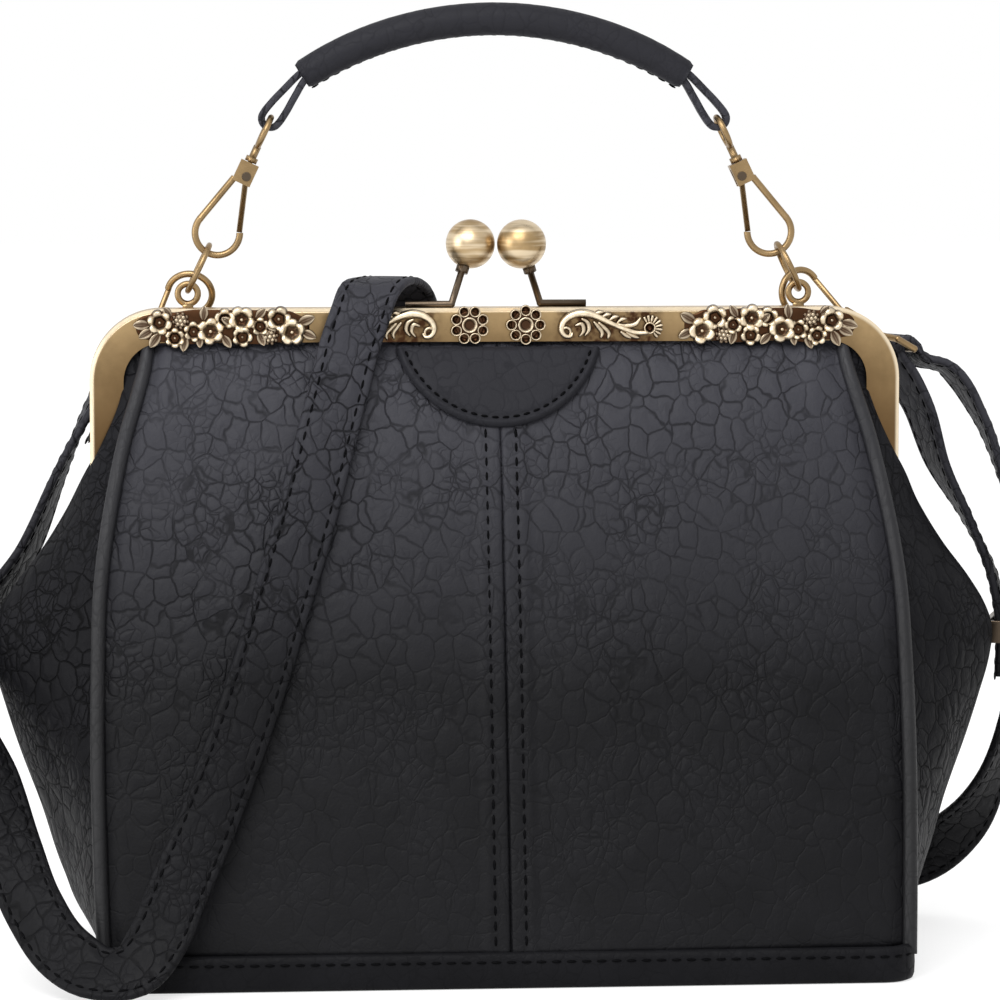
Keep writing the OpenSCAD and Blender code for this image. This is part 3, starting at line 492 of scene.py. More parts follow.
def crackle(g, place, size):
    """How deep a point lies in the leather's creases, and how far it has sunk from a cell's dome, 0 to 1."""
    tall = g.stretched(place, (1.0, 1.0, 0.84))
    warp = g.put("ShaderNodeTexNoise", {"Vector": tall, "Scale": 0.9 / size, "Detail": 2.0})
    middle = (0.5, 0.5, 0.5)
    shift = g.put("ShaderNodeVectorMath", {0: warp.outputs["Color"], 1: middle}, operation="SUBTRACT")
    scaled = g.put("ShaderNodeVectorMath", {0: shift.outputs[0], "Scale": 0.72 * size}, operation="SCALE")
    moved = g.put("ShaderNodeVectorMath", {0: tall, 1: scaled.outputs[0]}, operation="ADD").outputs[0]
    shares = (g.ramp(g.noise(place, 0.5 / size, 2.0), 0.34, 0.54, 0.5, 1.0, smooth=True),
              g.ramp(g.noise(place, 0.3 / size, 3.0), 0.42, 0.64, 0.05, 0.75, smooth=True))
    flats, domes = [], []
    for share, cell, width in zip(shares, (1.0, 0.5), (0.065, 0.09)):
        edge = g.put("ShaderNodeTexVoronoi", {"Vector": moved, "Scale": 1 / (size * cell)},
                     feature="DISTANCE_TO_EDGE").outputs["Distance"]
        height = g.product(g.ramp(edge, 0.0, width, smooth=True), share)
        flats.append(g.calc("ADD", height, g.calc("SUBTRACT", 1.0, share)))
        domes.append(g.product(g.ramp(edge, 0.0, 0.35, 1, 0, smooth=True), share))
    return g.calc("SUBTRACT", 1.0, g.product(*flats)), g.calc("ADD", *domes)


def leather_material(name, strength=1.0, size=None, low_fade=None, worn_top=1.0, shine=0.11):
    """Crackled leather, with painted light that makes it paler towards the top. low_fade gives two heights
    between which the crackle grows.
    """
    look = bpy.context.scene.handbag_leather
    material, g, shader, place, (_, _, z) = new_material(name)
    crease, dome = crackle(g, place, size or look.crackle)
    amount = g.ramp(g.noise(place, 14), 0.35, 0.6, 0.6, 1.0, smooth=True)
    if low_fade:
        amount = g.product(amount, g.ramp(z, *low_fade, 0.25, 1.0, smooth=True))
    crease = g.product(crease, amount)
    depth = g.calc("ADD", crease, g.product(dome, amount, 0.9))
    grain = g.noise(place, 700, 4.0)
    pores = g.put("ShaderNodeTexVoronoi", {"Vector": place, "Scale": 1500}).outputs["Distance"]
    sunk = g.bump(depth, strength, look.depth, invert=True)
    pebbled = g.bump(g.calc("ADD", pores, grain), 0.6, 0.06 * MM, normal=sunk)
    worn, pale, dark = (tuple(c * share for c in look.colour) for share in (1.9, 9.5, 0.35))
    colour = g.mix(g.ramp(g.noise(place, 55, 4.0), 0.3, 0.75, 0, 0.8), look.colour, worn)
    # Painted light: the leather is painted paler towards the top, where the light falls, as a painted sheen.
    colour = g.mix(g.ramp(z, 75 * MM, BAR_BOTTOM * MM, 0, worn_top), colour, pale)
    # Painted shade: the crackle's creases are painted darker.
    colour = g.mix(g.product(crease, min(0.65 * strength, 1.0)), colour, dark)
    rough = g.ramp(grain, 0.2, 0.8, look.roughness - 0.06, look.roughness + 0.08)
    g.join(shader, {"Base Color": colour, "Normal": pebbled, "Specular IOR Level": shine,
                    "Roughness": g.calc("ADD", rough, g.product(crease, 0.2))})
    return material


def rim_distance(g, x, z):
    """Distance past the frame's outer edge, seen from the front: 0 on the edge and less inside."""
    reach = []
    for along, edge in ((x, FRAME_HALF), (z, FRAME_TOP)):
        away = g.calc("SUBTRACT", g.calc("ABSOLUTE", along), (edge - CORNER_R) * MM)
        away = g.calc("MAXIMUM", away, 0.0)
        reach.append(g.product(away, away))
    return g.calc("SUBTRACT", g.calc("SQRT", g.calc("ADD", *reach)), CORNER_R * MM)


def frame_colour(g, colour, look, place, x, y, z):
    """The frame's colour: darker towards the legs' feet and the bar's inner edge as painted shade, painted
    shade in the patina's colour under the scrolls, and a painted highlight along the edge.
    """
    # Painted shade: the frame is painted darker towards the bar's inner edge and towards the legs' feet.
    deep = (0.10, 0.056, 0.023)
    away = rim_distance(g, x, z)
    colour = g.mix(g.ramp(away, -BAR_H * MM, -2.5 * MM, 0.4, 0.0), colour, deep)
    colour = g.mix(g.ramp(z, 134 * MM, 174 * MM, 0.9, 0.0, smooth=True), colour, deep)
    # Painted shade under the scrolls, in the patina's colour, broken up by noise.
    side = g.calc("ABSOLUTE", x)
    painted_scroll_shade = g.product(g.ramp(side, 14 * MM, 18 * MM), g.ramp(side, 44 * MM, 40 * MM), g.ramp(y, 0.0, -MM),
                      g.ramp(g.noise(place, 500), 0.4, 0.6, 0.35, 1.0))
    colour = g.mix(painted_scroll_shade, colour, look.patina)
    # Painted highlight: a bright line along the frame's outer edge, on its front.
    front = g.ramp(g.calc("ABSOLUTE", y), (FRAME_FACE - 2.4) * MM, (FRAME_FACE - 0.8) * MM, 0.2, 1.0)
    rim = g.product(g.ramp(away, -1.4 * MM, -0.5 * MM, 0, 0.9, smooth=True), front)
    return g.mix(rim, colour, look.bright)


def brass_material(name, relief=None, legs=False, dark=0.0, brushed_and_reflection=0.0, tint=None):
    """Antique brass. relief gives two depths in front of the frame between which patina turns bright."""
    look = bpy.context.scene.handbag_brass
    material, g, shader, place, (x, y, z) = new_material(name)
    blotch = g.ramp(g.noise(place, 130, 5.0, 0.6), 0.35, 0.7, 0, 0.55)
    colour = g.mix(blotch, look.colour, tuple(0.45 * c for c in look.colour))
    wear = height = g.noise(place, 420, 4.0)
    if legs:
        colour = frame_colour(g, colour, look, place, x, y, z)
    if relief:
        high = g.ramp(g.product(y, -1.0), relief[0] * MM, relief[1] * MM, smooth=True)
        high = g.product(high, g.ramp(g.noise(place, 900), 0.2, 0.6, 0.6, 1.0))
        colour = g.mix(high, look.patina, look.bright)
    if dark:
        colour = g.mix(dark, colour, tint or look.patina)
    # Brushed: a real stretched grain in the bump, and bright painted reflection bands in the colour.
    if brushed_and_reflection:
        squeezed = g.stretched(place, (1, 1, brushed_and_reflection))
        height = g.noise(squeezed, 260)
        painted_reflection_bands = g.ramp(g.noise(squeezed, 60, 2.0), 0.35, 0.65, 0.0, 0.6, smooth=True)
        colour = g.mix(painted_reflection_bands, colour, look.bright)
    g.join(shader, {"Base Color": colour, "Metallic": 1.0, "Normal": g.bump(height, 0.3, 0.03 * MM),
                    "Roughness": g.ramp(wear, 0.25, 0.75, look.roughness - 0.04, look.roughness + 0.16)})
    return material


def plain_material(name, colour, roughness, weave=0.0, shine=0.15):
    """Thread, cloth and board: a colour with a fine woven or fibrous surface."""
    material, g, shader, place, (x, _, z) = new_material(name)
    height = fibre = g.noise(place, 1800)
    if weave:
        height = g.product(*(g.calc("SINE", g.product(way, 2 * math.pi / weave)) for way in (x, z)))
    shade = g.mix(g.ramp(fibre, 0.3, 0.7), colour, tuple(1.7 * c for c in colour))
    g.join(shader, {"Base Color": shade, "Normal": g.bump(height, 0.6, 0.05 * MM), "Roughness": roughness,
                    "Specular IOR Level": shine})
    return material


MATERIALS = {}


def make_materials():
    thread = tuple(bpy.context.scene.handbag_sewing.colour)
    MATERIALS.update(
        panel=leather_material("panel leather", low_fade=(0.0, 90 * MM)),
        side=leather_material("side leather", 1.5, 5.4 * MM, (-80 * MM, 20 * MM), worn_top=0.1, shine=0.06),
        strap=leather_material("strap leather", 1.15, 5.4 * MM, worn_top=0.85, shine=0.09),
        smooth=leather_material("smooth leather", 0.25, 4.5 * MM, worn_top=0.42, shine=0.07),
        piping=leather_material("piping leather", 0.2, 4.5 * MM, worn_top=0.3, shine=0.3),
        frame=brass_material("frame brass", legs=True),
        relief=brass_material("relief brass", relief=(5.8, 7.4)),
        hardware=brass_material("hardware brass", dark=0.25),
        ball=brass_material("ball brass", brushed_and_reflection=14),
        wire=brass_material("dark wire", dark=0.9, tint=(0.07, 0.055, 0.045)),
        thread=plain_material("waxed thread", thread, 0.45, shine=0.03),
        lining=plain_material("lining cloth", (0.012, 0.012, 0.014), 0.85, weave=0.9 * MM),
        board=plain_material("grey board", (0.16, 0.15, 0.135), 0.8),
    )


def new_group(name, values):
    """A geometry node group with a geometry, the named values and a material as inputs."""
    tree = bpy.data.node_groups.new(name, "GeometryNodeTree")
    face = tree.interface
    face.new_socket("Geometry", in_out="INPUT", socket_type="NodeSocketGeometry")
    for key, kind, value in values:
        face.new_socket(key, in_out="INPUT", socket_type=kind).default_value = value
    face.new_socket("Material", in_out="INPUT", socket_type="NodeSocketMaterial")
    face.new_socket("Geometry", in_out="OUTPUT", socket_type="NodeSocketGeometry")
    g = Nodes(tree)
    return g, g.put("NodeGroupInput").outputs


def end_group(g, laid, material):
    """Ends a group with Realize Instances and Set Material."""
    real = g.put("GeometryNodeRealizeInstances", {0: laid.outputs[0]})
    done = g.put("GeometryNodeSetMaterial", {"Geometry": real.outputs[0], "Material": material})
    g.put("NodeGroupOutput", {0: done.outputs[0]})
    return g.tree


def run_tree(piece, tree, settings):
    """Runs a node tree on a piece and leaves the plain mesh that comes out."""
    modifier = piece.modifiers.new("Shape", "NODES")
    modifier.node_group = tree
    for item in tree.interface.items_tree:
        if item.item_type == "SOCKET" and item.in_out == "INPUT" and item.name in settings:
            modifier[item.identifier] = settings[item.name]
    bpy.context.view_layer.update()
    graph = bpy.context.evaluated_depsgraph_get()
    mesh = bpy.data.meshes.new_from_object(piece.evaluated_get(graph))
    old = piece.data
    piece.modifiers.remove(modifier)
    piece.data = mesh
    mesh.name = piece.name
    bpy.data.meshes.remove(old)
    smooth_shaded(mesh)
    return piece


# Stitches


def stitch_tree():
    """A node tree that lays stitches along a line, turned by the line's own "out" direction."""
    g, given = new_group("Stitch Row", (
        ("Pitch", "NodeSocketFloat", 3.8 * MM), ("Length", "NodeSocketFloat", 2.4 * MM),
        ("Thread", "NodeSocketFloat", 0.7 * MM)))
    curve = g.put("GeometryNodeMeshToCurve", {0: given["Geometry"]})
    spaced = g.put("GeometryNodeResampleCurve", {
        "Curve": curve.outputs[0], "Length": given["Pitch"]}, mode="LENGTH")
    bead = g.put("GeometryNodeMeshUVSphere", {"Segments": 8, "Rings": 6, "Radius": 0.5})
    size = g.put("ShaderNodeCombineXYZ", {"X": given["Length"], "Y": given["Thread"], "Z": given["Thread"]})
    shaped = g.put("GeometryNodeTransform", {"Geometry": bead.outputs[0], "Scale": size.outputs[0]})
    along = g.put("GeometryNodeInputTangent")
    out = g.put("GeometryNodeInputNamedAttribute", {"Name": "out"}, data_type="FLOAT_VECTOR")
    first = g.put("FunctionNodeAlignRotationToVector", {"Vector": along.outputs[0]}, axis="X")
    second = g.put("FunctionNodeAlignRotationToVector", {
        "Rotation": first.outputs[0], "Vector": out.outputs["Attribute"]}, axis="Z", pivot_axis="X")
    laid = g.put("GeometryNodeInstanceOnPoints", {
        "Points": spaced.outputs[0], "Instance": shaped.outputs[0], "Rotation": second.outputs[0]})
    return end_group(g, laid, given["Material"])


def stitched(name, lines, body="bag", fold=None, **sizes):
    """Stitches along lines, each a list of (point, outward direction) in millimetres."""
    sewing = bpy.context.scene.handbag_sewing
    points, edges, outs = [], [], []
    for line in lines:
        start = len(points)
        points += [tuple(float(c) * MM for c in p) for p, _ in line]
        outs += [unit(o) for _, o in line]
        edges += [(start + k, start + k + 1) for k in range(len(line) - 1)]
    mesh = bpy.data.meshes.new(name)
    mesh.from_pydata(points, edges, [])
    out = mesh.attributes.new("out", "FLOAT_VECTOR", "POINT")
    out.data.foreach_set("vector", np.array(outs, np.float32).ravel())
    tree = bpy.data.node_groups.get("Stitch Row") or stitch_tree()
    piece = run_tree(link(name, mesh), tree, {
        "Pitch": sewing.pitch, "Length": sewing.length, "Thread": sewing.thread,
        "Material": MATERIALS["thread"], **{key: size * MM for key, size in sizes.items()}})
    return finish_piece(piece, "thread", body, fold=fold)


# Leather panels


def panel_relief(x, z, side_sign):
    """How far the panel's leather stands in front of its smooth face, in millimetres."""
    x, z = np.asarray(x, float), np.asarray(z, float)
    off = np.abs(x)
    below = BAR_BOTTOM - z
    ridge = 0.5 * (1 - blend_step(off, 5.6, 7.4))
    groove = -0.5 * np.exp(-(x / 0.32) ** 2)
    dent = -0.22 * np.exp(-((off - SEAM_STITCH) / 0.6) ** 2)
    valley = -1.3 * np.exp(-((panel_half(z) - off) / 2.4) ** 2)
    spot = np.stack([x * side_sign, 0 * x, z], axis=-1)
    waves = (0.55 * rumple(spot, 38, 1) + 0.22 * rumple(spot, 15, 2)) * blend_step(below, 0, 18)
    tucks = 0.5 * np.sin(off * 0.62 + 0.8 * side_sign) * np.exp(-(below / 12) ** 2)
    return ridge + groove + dent + valley + waves + tucks * blend_step(off, 50, 86)


def panel_grid(side_sign, cols=96, rows=110):
    """Points of a front panel half, from the middle seam outwards and from the base up."""
    s = np.linspace(0, 1, cols)
    s = 0.7 * s + 0.3 * s ** 2
    low = BASE_EDGE - 1.2
    z = low + (BAR_BOTTOM - 0.6 - low) * (1 - (1 - np.linspace(0, 1, rows)) ** 1.25)
    zz = np.tile(np.concatenate([z, [BAR_BOTTOM + 1, BAR_BOTTOM + 3, BAR_BOTTOM + 6]]), (cols, 1))
    xx = s[:, None] * (panel_half(zz) + 0.8) + 0.015 * (1 - s[:, None])
    face = panel_face(xx, zz) + panel_relief(xx, zz, side_sign) * (zz < BAR_BOTTOM)
    return np.stack([xx, -face, zz], axis=-1)


def front_point(x, z, relief=False, lift=0.0, step=0.4):
    """A point of the front panels, with or without their relief, and the direction out of them."""
    def at(px, pz):
        raised = panel_relief(px, pz, 1 if x >= 0 else -1) if relief else 0.0
        return np.array([px, -(panel_face(px, pz) + raised), pz])

    out = unit(np.cross(at(x + step, z) - at(x - step, z), at(x, z + step) - at(x, z - step)))
    return at(x, z) + lift * out, out


def sew_panels(end, depth, nodes, seam, seam_top, fold=None):
    """The two panels of the front or back, and the stitches beside the seam between them."""
    for side, sign in RIGHT_LEFT:
        grid = panel_grid(sign) * (sign, depth, 1)
        piece = sheet_piece(f"{end}_{side}_leather", grid, LEATHER_T, flip=sign * depth < 0)
        finish_piece(piece, "panel", nodes=[node.format(f"{end}_{side}_panel") for node in nodes], fold=fold)
    flip = np.array((1, depth, 1))
    lines = [[[v * flip for v in front_point(x, z, relief=True, lift=0.12)]
              for z in np.linspace(BASE_EDGE + 2.5, seam_top, 60)] for x in (-SEAM_STITCH, SEAM_STITCH)]
    stitched(seam, lines, fold=fold)


class HANDBAG_OT_front_panels(bpy.types.Operator):
    """The two halves of the front, sewn together down the middle"""
    bl_idname = "handbag.front_panels"
    bl_label = "Front Panels"

    def execute(self, context):
        tab_edge = TAB_CENTRE - math.sqrt(TAB_R ** 2 - SEAM_STITCH ** 2) - 1.5
        sew_panels("front", 1, ("{}", "{}_top"), "middle_seam_stitches", tab_edge, PANEL_FOLD)
        return {"FINISHED"}


class HANDBAG_OT_back_panels(bpy.types.Operator):
    """The two halves of the back, sewn together down the middle"""
    bl_idname = "handbag.back_panels"
    bl_label = "Back Panels"

    def execute(self, context):
        sew_panels("back", -1, ("{}",), "back_seam_stitches", BAR_BOTTOM - 6)
        return {"FINISHED"}


def piping_mid(z):
    half = panel_half(z)
    return np.array([half + PIPING_R - 0.2, -(panel_face(half, z) - 0.9), z])


class HANDBAG_OT_pipings(bpy.types.Operator):
    """The round pipings between the panels and the side folds"""
    bl_idname = "handbag.pipings"
    bl_label = "Pipings"

    def execute(self, context):
        heights = np.concatenate([np.linspace(BASE_EDGE - 3, 140, 60), np.linspace(142, 160.5, 14)])
        scale = [1.0 - 0.12 * float(blend_step(z, 150, 160)) for z in heights]
        section = [(PIPING_R * c, PIPING_R * s) for c, s in circle(14)]
        for (end, depth), nodes, fold in zip(
                ENDS, (("front_pipings", "front_piping_tops"), ("back_pipings",)), (PANEL_FOLD, None)):
            paths = [[piping_mid(z) * (sign, depth, 1) for z in heights] for sign in (1, -1)]
            parts = [swept("piping", path, section, scale=scale) for path in paths]
            finish_piece(joined(f"{end}_side_pipings", parts), "piping", nodes=nodes, fold=fold)
        return {"FINISHED"}


def side_grid(seed, cols=34, rows=120):
    """Half of a side fold, from the front piping to its crest."""
    low = BASE_EDGE - 1.0
    z = low + (FOLD_TOP - low) * np.linspace(0, 1, rows)
    crest_y = -6.6 * blend_step(z, TUCK_LOW, TUCK_HIGH) + 2.7 * blend_step(z, 145.0, 151.0)
    grid = np.zeros((cols, rows, 3))
    for j, height in enumerate(z):
        start = piping_mid(height) + (0.6, PIPING_R * 0.75, 0)
        crest = (fold_half(height), crest_y[j])
        for i in range(cols):
            s = 1 - i / (cols - 1)
            grid[i, j] = (start[0] + (crest[0] - start[0]) * (1 - s ** 1.45),
                          crest[1] + (start[1] - crest[1]) * s, height)
    across = np.sin(np.pi * np.linspace(0, 1, cols))[:, None]
    ends = blend_step(z, low, low + 14) * (1 - blend_step(z, 146, 158))
    grid[..., 0] += (1.5 * rumple(grid, 26, seed) + 0.5 * rumple(grid, 10, seed + 3)) * across * ends
    return grid


class HANDBAG_OT_side_folds(bpy.types.Operator):
    """The leather folds at the bag's two sides"""
    bl_idname = "handbag.side_folds"
    bl_label = "Side Folds"

    def execute(self, context):
        for (side, sign), seed in zip(RIGHT_LEFT, (4, 9)):
            for end, depth in ENDS:
                grid = side_grid(seed + depth) * (sign, depth, 1)
                piece = sheet_piece(f"{side}_fold_{end}", grid, LEATHER_T, flip=sign * depth < 0)
                finish_piece(piece, "side", nodes=(side + "_gusset",), fold=depth > 0 and PANEL_FOLD)
        return {"FINISHED"}


def rounded_outline(inset=0.0, radius=BASE_CORNER, step=8):
    """Points round the base, grown by inset, from the front right corner anticlockwise."""
    half_x, half_y = BASE_HALF + inset, BASE_DEPTH + inset
    points = []
    for cx, cy, start in ((1, -1, -90), (1, 1, 0), (-1, 1, 90), (-1, -1, 180)):
        for k in range(step + 1):
            a = math.radians(start + 90 * k / step)
            points.append((cx * (half_x - radius) + radius * math.cos(a),
                           cy * (half_y - radius) + radius * math.sin(a)))
    dense = []
    for p, q in zip(points, points[1:] + points[:1]):
        parts = max(1, int(math.dist(p, q) / 4))
        dense += [(p[0] + (q[0] - p[0]) * i / parts, p[1] + (q[1] - p[1]) * i / parts) for i in range(parts)]
    return dense


# The base leather's profile: distance out from the outline, and height
BASE_PROFILE = ((-40, 0.0), (-6, 0.0), (-1.4, 0.05), (-0.4, 0.5), (0.0, 1.6), (0.1, 4.5), (0.0, 7.4),
                (-0.3, 8.6), (-1.1, 9.4), (-2.4, 9.2), (-3.2, 8.0))


class HANDBAG_OT_base(bpy.types.Operator):
    """The base and its turned-up band"""
    bl_idname = "handbag.base"
    bl_label = "Base"

    def execute(self, context):
        outline = rounded_outline()
        n = len(outline)
        points = []
        for inset, z in BASE_PROFILE:
            ring = rounded_outline(inset, max(BASE_CORNER + inset, 1.5))
            if len(ring) != n:
                ring = [(x * (BASE_HALF + inset) / BASE_HALF, y * (BASE_DEPTH + inset) / BASE_DEPTH)
                        for x, y in outline]
            points += [(x, y, z) for x, y in ring]
        faces = grid_faces(len(BASE_PROFILE), n, wrap=True, flip=True) + [tuple(range(n))]
        piece = add_wall(outward(new_piece("base_leather", points, faces), (0, 0, 4)), 1.4)
        finish_piece(piece, "smooth", nodes=("base_panel",))
        finish_piece(from_node("base_board_panel", "base_board", bevel=0.3), "board", nodes=("base_board",))
        edge = rounded_outline(0.05)
        line = []
        for k, (x, y) in enumerate(edge + edge[:1]):
            q = edge[(k + 1) % len(edge)]
            t = unit((q[0] - x, q[1] - y, 0))
            line.append(((x, y, 7.0), (t[1], -t[0], 0)))
        stitched("base_band_stitches", [line])
        return {"FINISHED"}


class HANDBAG_OT_tab(bpy.types.Operator):
    """The half-round tab under the lock, with its turned edge and stitch line"""
    bl_idname = "handbag.tab"
    bl_label = "Front Tab"

    def execute(self, context):
        cols, rows = 72, 26
        half = math.sqrt(TAB_R ** 2 - (TAB_CENTRE - TAB_TOP) ** 2)
        grid = np.zeros((cols, rows, 3))
        for i in range(cols):
            x = half * math.sin(math.pi * (i / (cols - 1) - 0.5))
            low = min(TAB_CENTRE - math.sqrt(max(TAB_R ** 2 - x * x, 0)), TAB_TOP - 0.05)
            for j in range(rows):
                z = low + (TAB_TOP - low) * (j / (rows - 1)) ** 1.5
                rim = TAB_R - math.hypot(x, z - TAB_CENTRE)
                roll = 1.0 - math.exp(-max(rim, 0) / 0.6)
                bead = 0.5 * math.exp(-((rim - 0.9) / 0.8) ** 2)
                dent = -0.35 * math.exp(-((rim - TAB_STITCH) / 0.6) ** 2)
                grid[i, j] = front_point(x, z, lift=0.85 + 1.25 * roll + bead + dent)[0]
        piece = sheet_piece("front_tab_leather", grid, 1.2)
        finish_piece(piece, "smooth", nodes=("front_tab",), fold=PANEL_FOLD)
        r = TAB_R - TAB_STITCH
        reach = math.asin(min(1, (TAB_CENTRE - TAB_TOP + 1.5) / r))
        turns = np.linspace(math.pi + reach, 2 * math.pi - reach, 81)
        line = [front_point(r * math.cos(a), TAB_CENTRE + r * math.sin(a), lift=1.9) for a in turns]
        stitched("tab_stitches", [line], fold=PANEL_FOLD, Pitch=2.7, Length=1.9)
        return {"FINISHED"}


def lining_sheet(name, grid, depth, sign, nodes=()):
    """A lining sheet that hangs on another piece."""
    grid = grid * (sign, depth, 1)
    piece = sheet_piece(name, grid, 0.5, flip=sign * depth < 0)
    finish_piece(piece, "lining", nodes=nodes, fold=depth > 0 and PANEL_FOLD)


class HANDBAG_OT_lining(bpy.types.Operator):
    """The cloth lining inside the bag"""
    bl_idname = "handbag.lining"
    bl_label = "Lining"

    def execute(self, context):
        cols, rows, side_cols = 50, 50, 14
        for (end, depth), nodes in zip(ENDS, (("front_lining_top",), ("back_lining_top", "lining_pouch"))):
            zz = np.tile(np.linspace(5.5, BAR_BOTTOM - 2.5, rows), (cols, 1))
            wide = np.maximum(zz, BASE_EDGE)
            xx = np.linspace(-1, 1, cols)[:, None] * (panel_half(wide) - 2.2)
            face = panel_face(xx, wide) - LEATHER_T - 1.6
            folds = 1 + rumple(np.stack([xx, face, zz], axis=-1), 22, 6)
            face = face - 0.5 * folds * blend_step(BAR_BOTTOM - zz, 2, 20)
            lining_sheet(f"{end}_lining_cloth", np.stack([xx, -face, zz], axis=-1), depth, 1,
                         nodes)
            for (side, sign), seed in zip(RIGHT_LEFT, (4, 9)):
                grid = side_grid(seed, side_cols, rows)
                grid = grid[:, grid[0, :, 2] < LINING_TOP]
                grid[..., 0] -= 2.6
                grid[..., 1] += 0.9 * (1 - np.linspace(0, 1, side_cols))[:, None]
                lining_sheet(f"{side}_{end}_side_lining", grid, depth, sign)
        inset = 4
        floor = rounded_outline(-inset, 6, 6)
        n = len(floor)
        faces = [tuple(range(n)), tuple(reversed(range(n, 2 * n)))]
        faces += [(k, k + n, (k + 1) % n + n, (k + 1) % n) for k in range(n)]
        piece = outward(new_piece("lining_floor", [(x, y, z) for z in (4.9, 4.3) for x, y in floor], faces,
                                  smooth=False))
        finish_piece(piece, "lining")
        return {"FINISHED"}


# Frame and lock


class HANDBAG_OT_frame(bpy.types.Operator):
    """The frame's two brass halves, their hinge rivets and the cords that hold the leather"""
    bl_idname = "handbag.frame"
    bl_label = "Frame"

    def execute(self, context):
        for end, body in (("front", "front_half"), ("back", "bag")):
            half = from_node(f"{end}_frame_half", f"{end}_frame", bevel=0.28, crease=30)
            finish_piece(half, "frame", body, (f"{end}_frame",))
            cord = from_node(f"{end}_holding_cord", f"{end}_crimp_cord")
            finish_piece(cord, "board", body, (f"{end}_crimp_cord",))
        rivets = from_node("leg_hinge_rivets", "hinge_rivets", bevel=0.2)
        finish_piece(rivets, "hardware", nodes=("hinge_rivets",))
        return {"FINISHED"}


class HANDBAG_OT_lock(bpy.types.Operator):
    """The kiss lock's two balls and the wires that carry them"""
    bl_idname = "handbag.lock"
    bl_label = "Kiss Lock"

    def execute(self, context):
        for end, body in (("front", "front_half"), ("back", "bag")):
            finish_piece(from_node(f"{end}_ball", f"{end}_lock_ball"), "ball", body, (f"{end}_lock_ball",))
            finish_piece(from_node(f"{end}_ball_wire", f"{end}_lock_arm"), "wire", body, (f"{end}_lock_arm",))
        return {"FINISHED"}


# Cast ornament. Each shape is its points and its faces, built on the frame's face


def front(x, z, lift=0.0):
    """A point that far in front of the frame's face, which the ornament is let into by a hair."""
    return x, -(FRAME_FACE - 0.05 + lift), z


def cup_faces(rings, sides):
    """Faces of rings of points with a flat bottom and a last point that closes the top."""
    last, top = (rings - 1) * sides, rings * sides
    fan = [(last + k, top, last + (k + 1) % sides) for k in range(sides)]
    return grid_faces(rings, sides, wrap=True) + fan + [tuple(reversed(range(sides)))]


def round_shape(x, z, r, rows, top, sides):
    """A round shape of (share of the radius, lift) rows that closes at a top."""
    points = [front(x + r * share * c, z + r * share * s, lift)
              for share, lift in rows for c, s in circle(sides)]
    return points + [front(x, z, top)], cup_faces(len(rows), sides)


def dish(x, z, r, rim, cup, sides):
    """A round cup whose rim stands out by rim, and whose hollow goes down by a share of that."""
    rows = ((1.10, 0.0), (1.06, 0.8), (0.97, 1.0), (0.86, 0.93), (0.62, 1 - cup * 0.75), (0.3, 1 - cup))
    return round_shape(x, z, r, [(share, rim * height) for share, height in rows], rim * (1 - cup), sides)


def bead(x, z, r, floor, rise, sides=10):
    """A round bead whose top stands rise above its floor."""
    crown = [(share, floor + rise * h) for share, h in ((0.92, 0.45), (0.7, 0.78), (0.38, 0.95))]
    return round_shape(x, z, r, [(1.0, 0.0), *crown], floor + rise, sides)


def bud(x, z, r, turn):
    """A round bud's shapes: small beads round a middle one."""
    shapes = [bead(x, z, r, 0.0, 1.0, 14)]
    for count, share, lift in ((1, 0.0, 0.95), (6, 0.52, 0.75), (9, 0.88, 0.35)):
        shapes += [bead(x + share * r * c, z + share * r * s, 0.27 * r, lift, 0.55, 8)
                   for c, s in circle(count, turn)]
    return shapes


def blossom(x, z, r, turn, petals, base, lean):
    """A flower's shapes: thick scalloped petals about a deep hollow, with a small bead in it."""
    sectors = 8 * petals
    rows = ((1.0, 0.0), (0.93, 0.62), (0.84, 0.92), (0.72, 1.0), (0.6, 0.9), (0.48, 0.62), (0.38, 0.3),
            (0.3, 0.12), (0.16, 0.06))
    points = []
    for share, height in rows:
        for k, (c, s) in enumerate(circle(sectors, turn)):
            a = 2 * math.pi * k / sectors
            lobe = abs(math.cos(petals * a / 2))
            reach = r * (share * (0.80 + 0.20 * lobe ** 0.6) if share > 0.5 else share)
            crest = (0.42 + 0.58 * lobe ** 0.5) * (1.0 + 0.16 * math.cos(3 * a + turn))
            lift = height * crest * 1.75 + (base + lean * share * s if height else 0.0)
            points.append(front(x + reach * c, z + reach * s, max(lift, 0.0)))
    points.append(front(x, z, base + 0.1))
    return (points, cup_faces(len(rows), sectors)), bead(x, z, 0.13 * r, 0.55 + base, 0.5)


def leaf(x, z, length, turn):
    """A pointed leaf with raised edges, a sunk middle and a rib."""
    c, s = math.cos(turn), math.sin(turn)
    count = 12
    across = ((-1.0, 0.0), (-0.9, 1.15), (-0.62, 1.3), (-0.2, 0.65), (0.0, 0.95), (0.2, 0.65), (0.62, 1.3),
              (0.9, 1.15), (1.0, 0.0))
    n = len(across)
    points = []
    for u in (i / (count - 1) for i in range(count)):
        half = 0.34 * length * (math.sin(math.pi * min(1, u * 0.94 + 0.06)) ** 0.7 + 0.02)
        points += [front(x + u * length * c - q * half * s, z + u * length * s + q * half * c,
                         h * (0.75 + 0.35 * u)) for q, h in across]
    edge = tuple(i * n for i in range(count)) + tuple(i * n + n - 1 for i in reversed(range(count)))
    return points, grid_faces(count, n) + [edge]


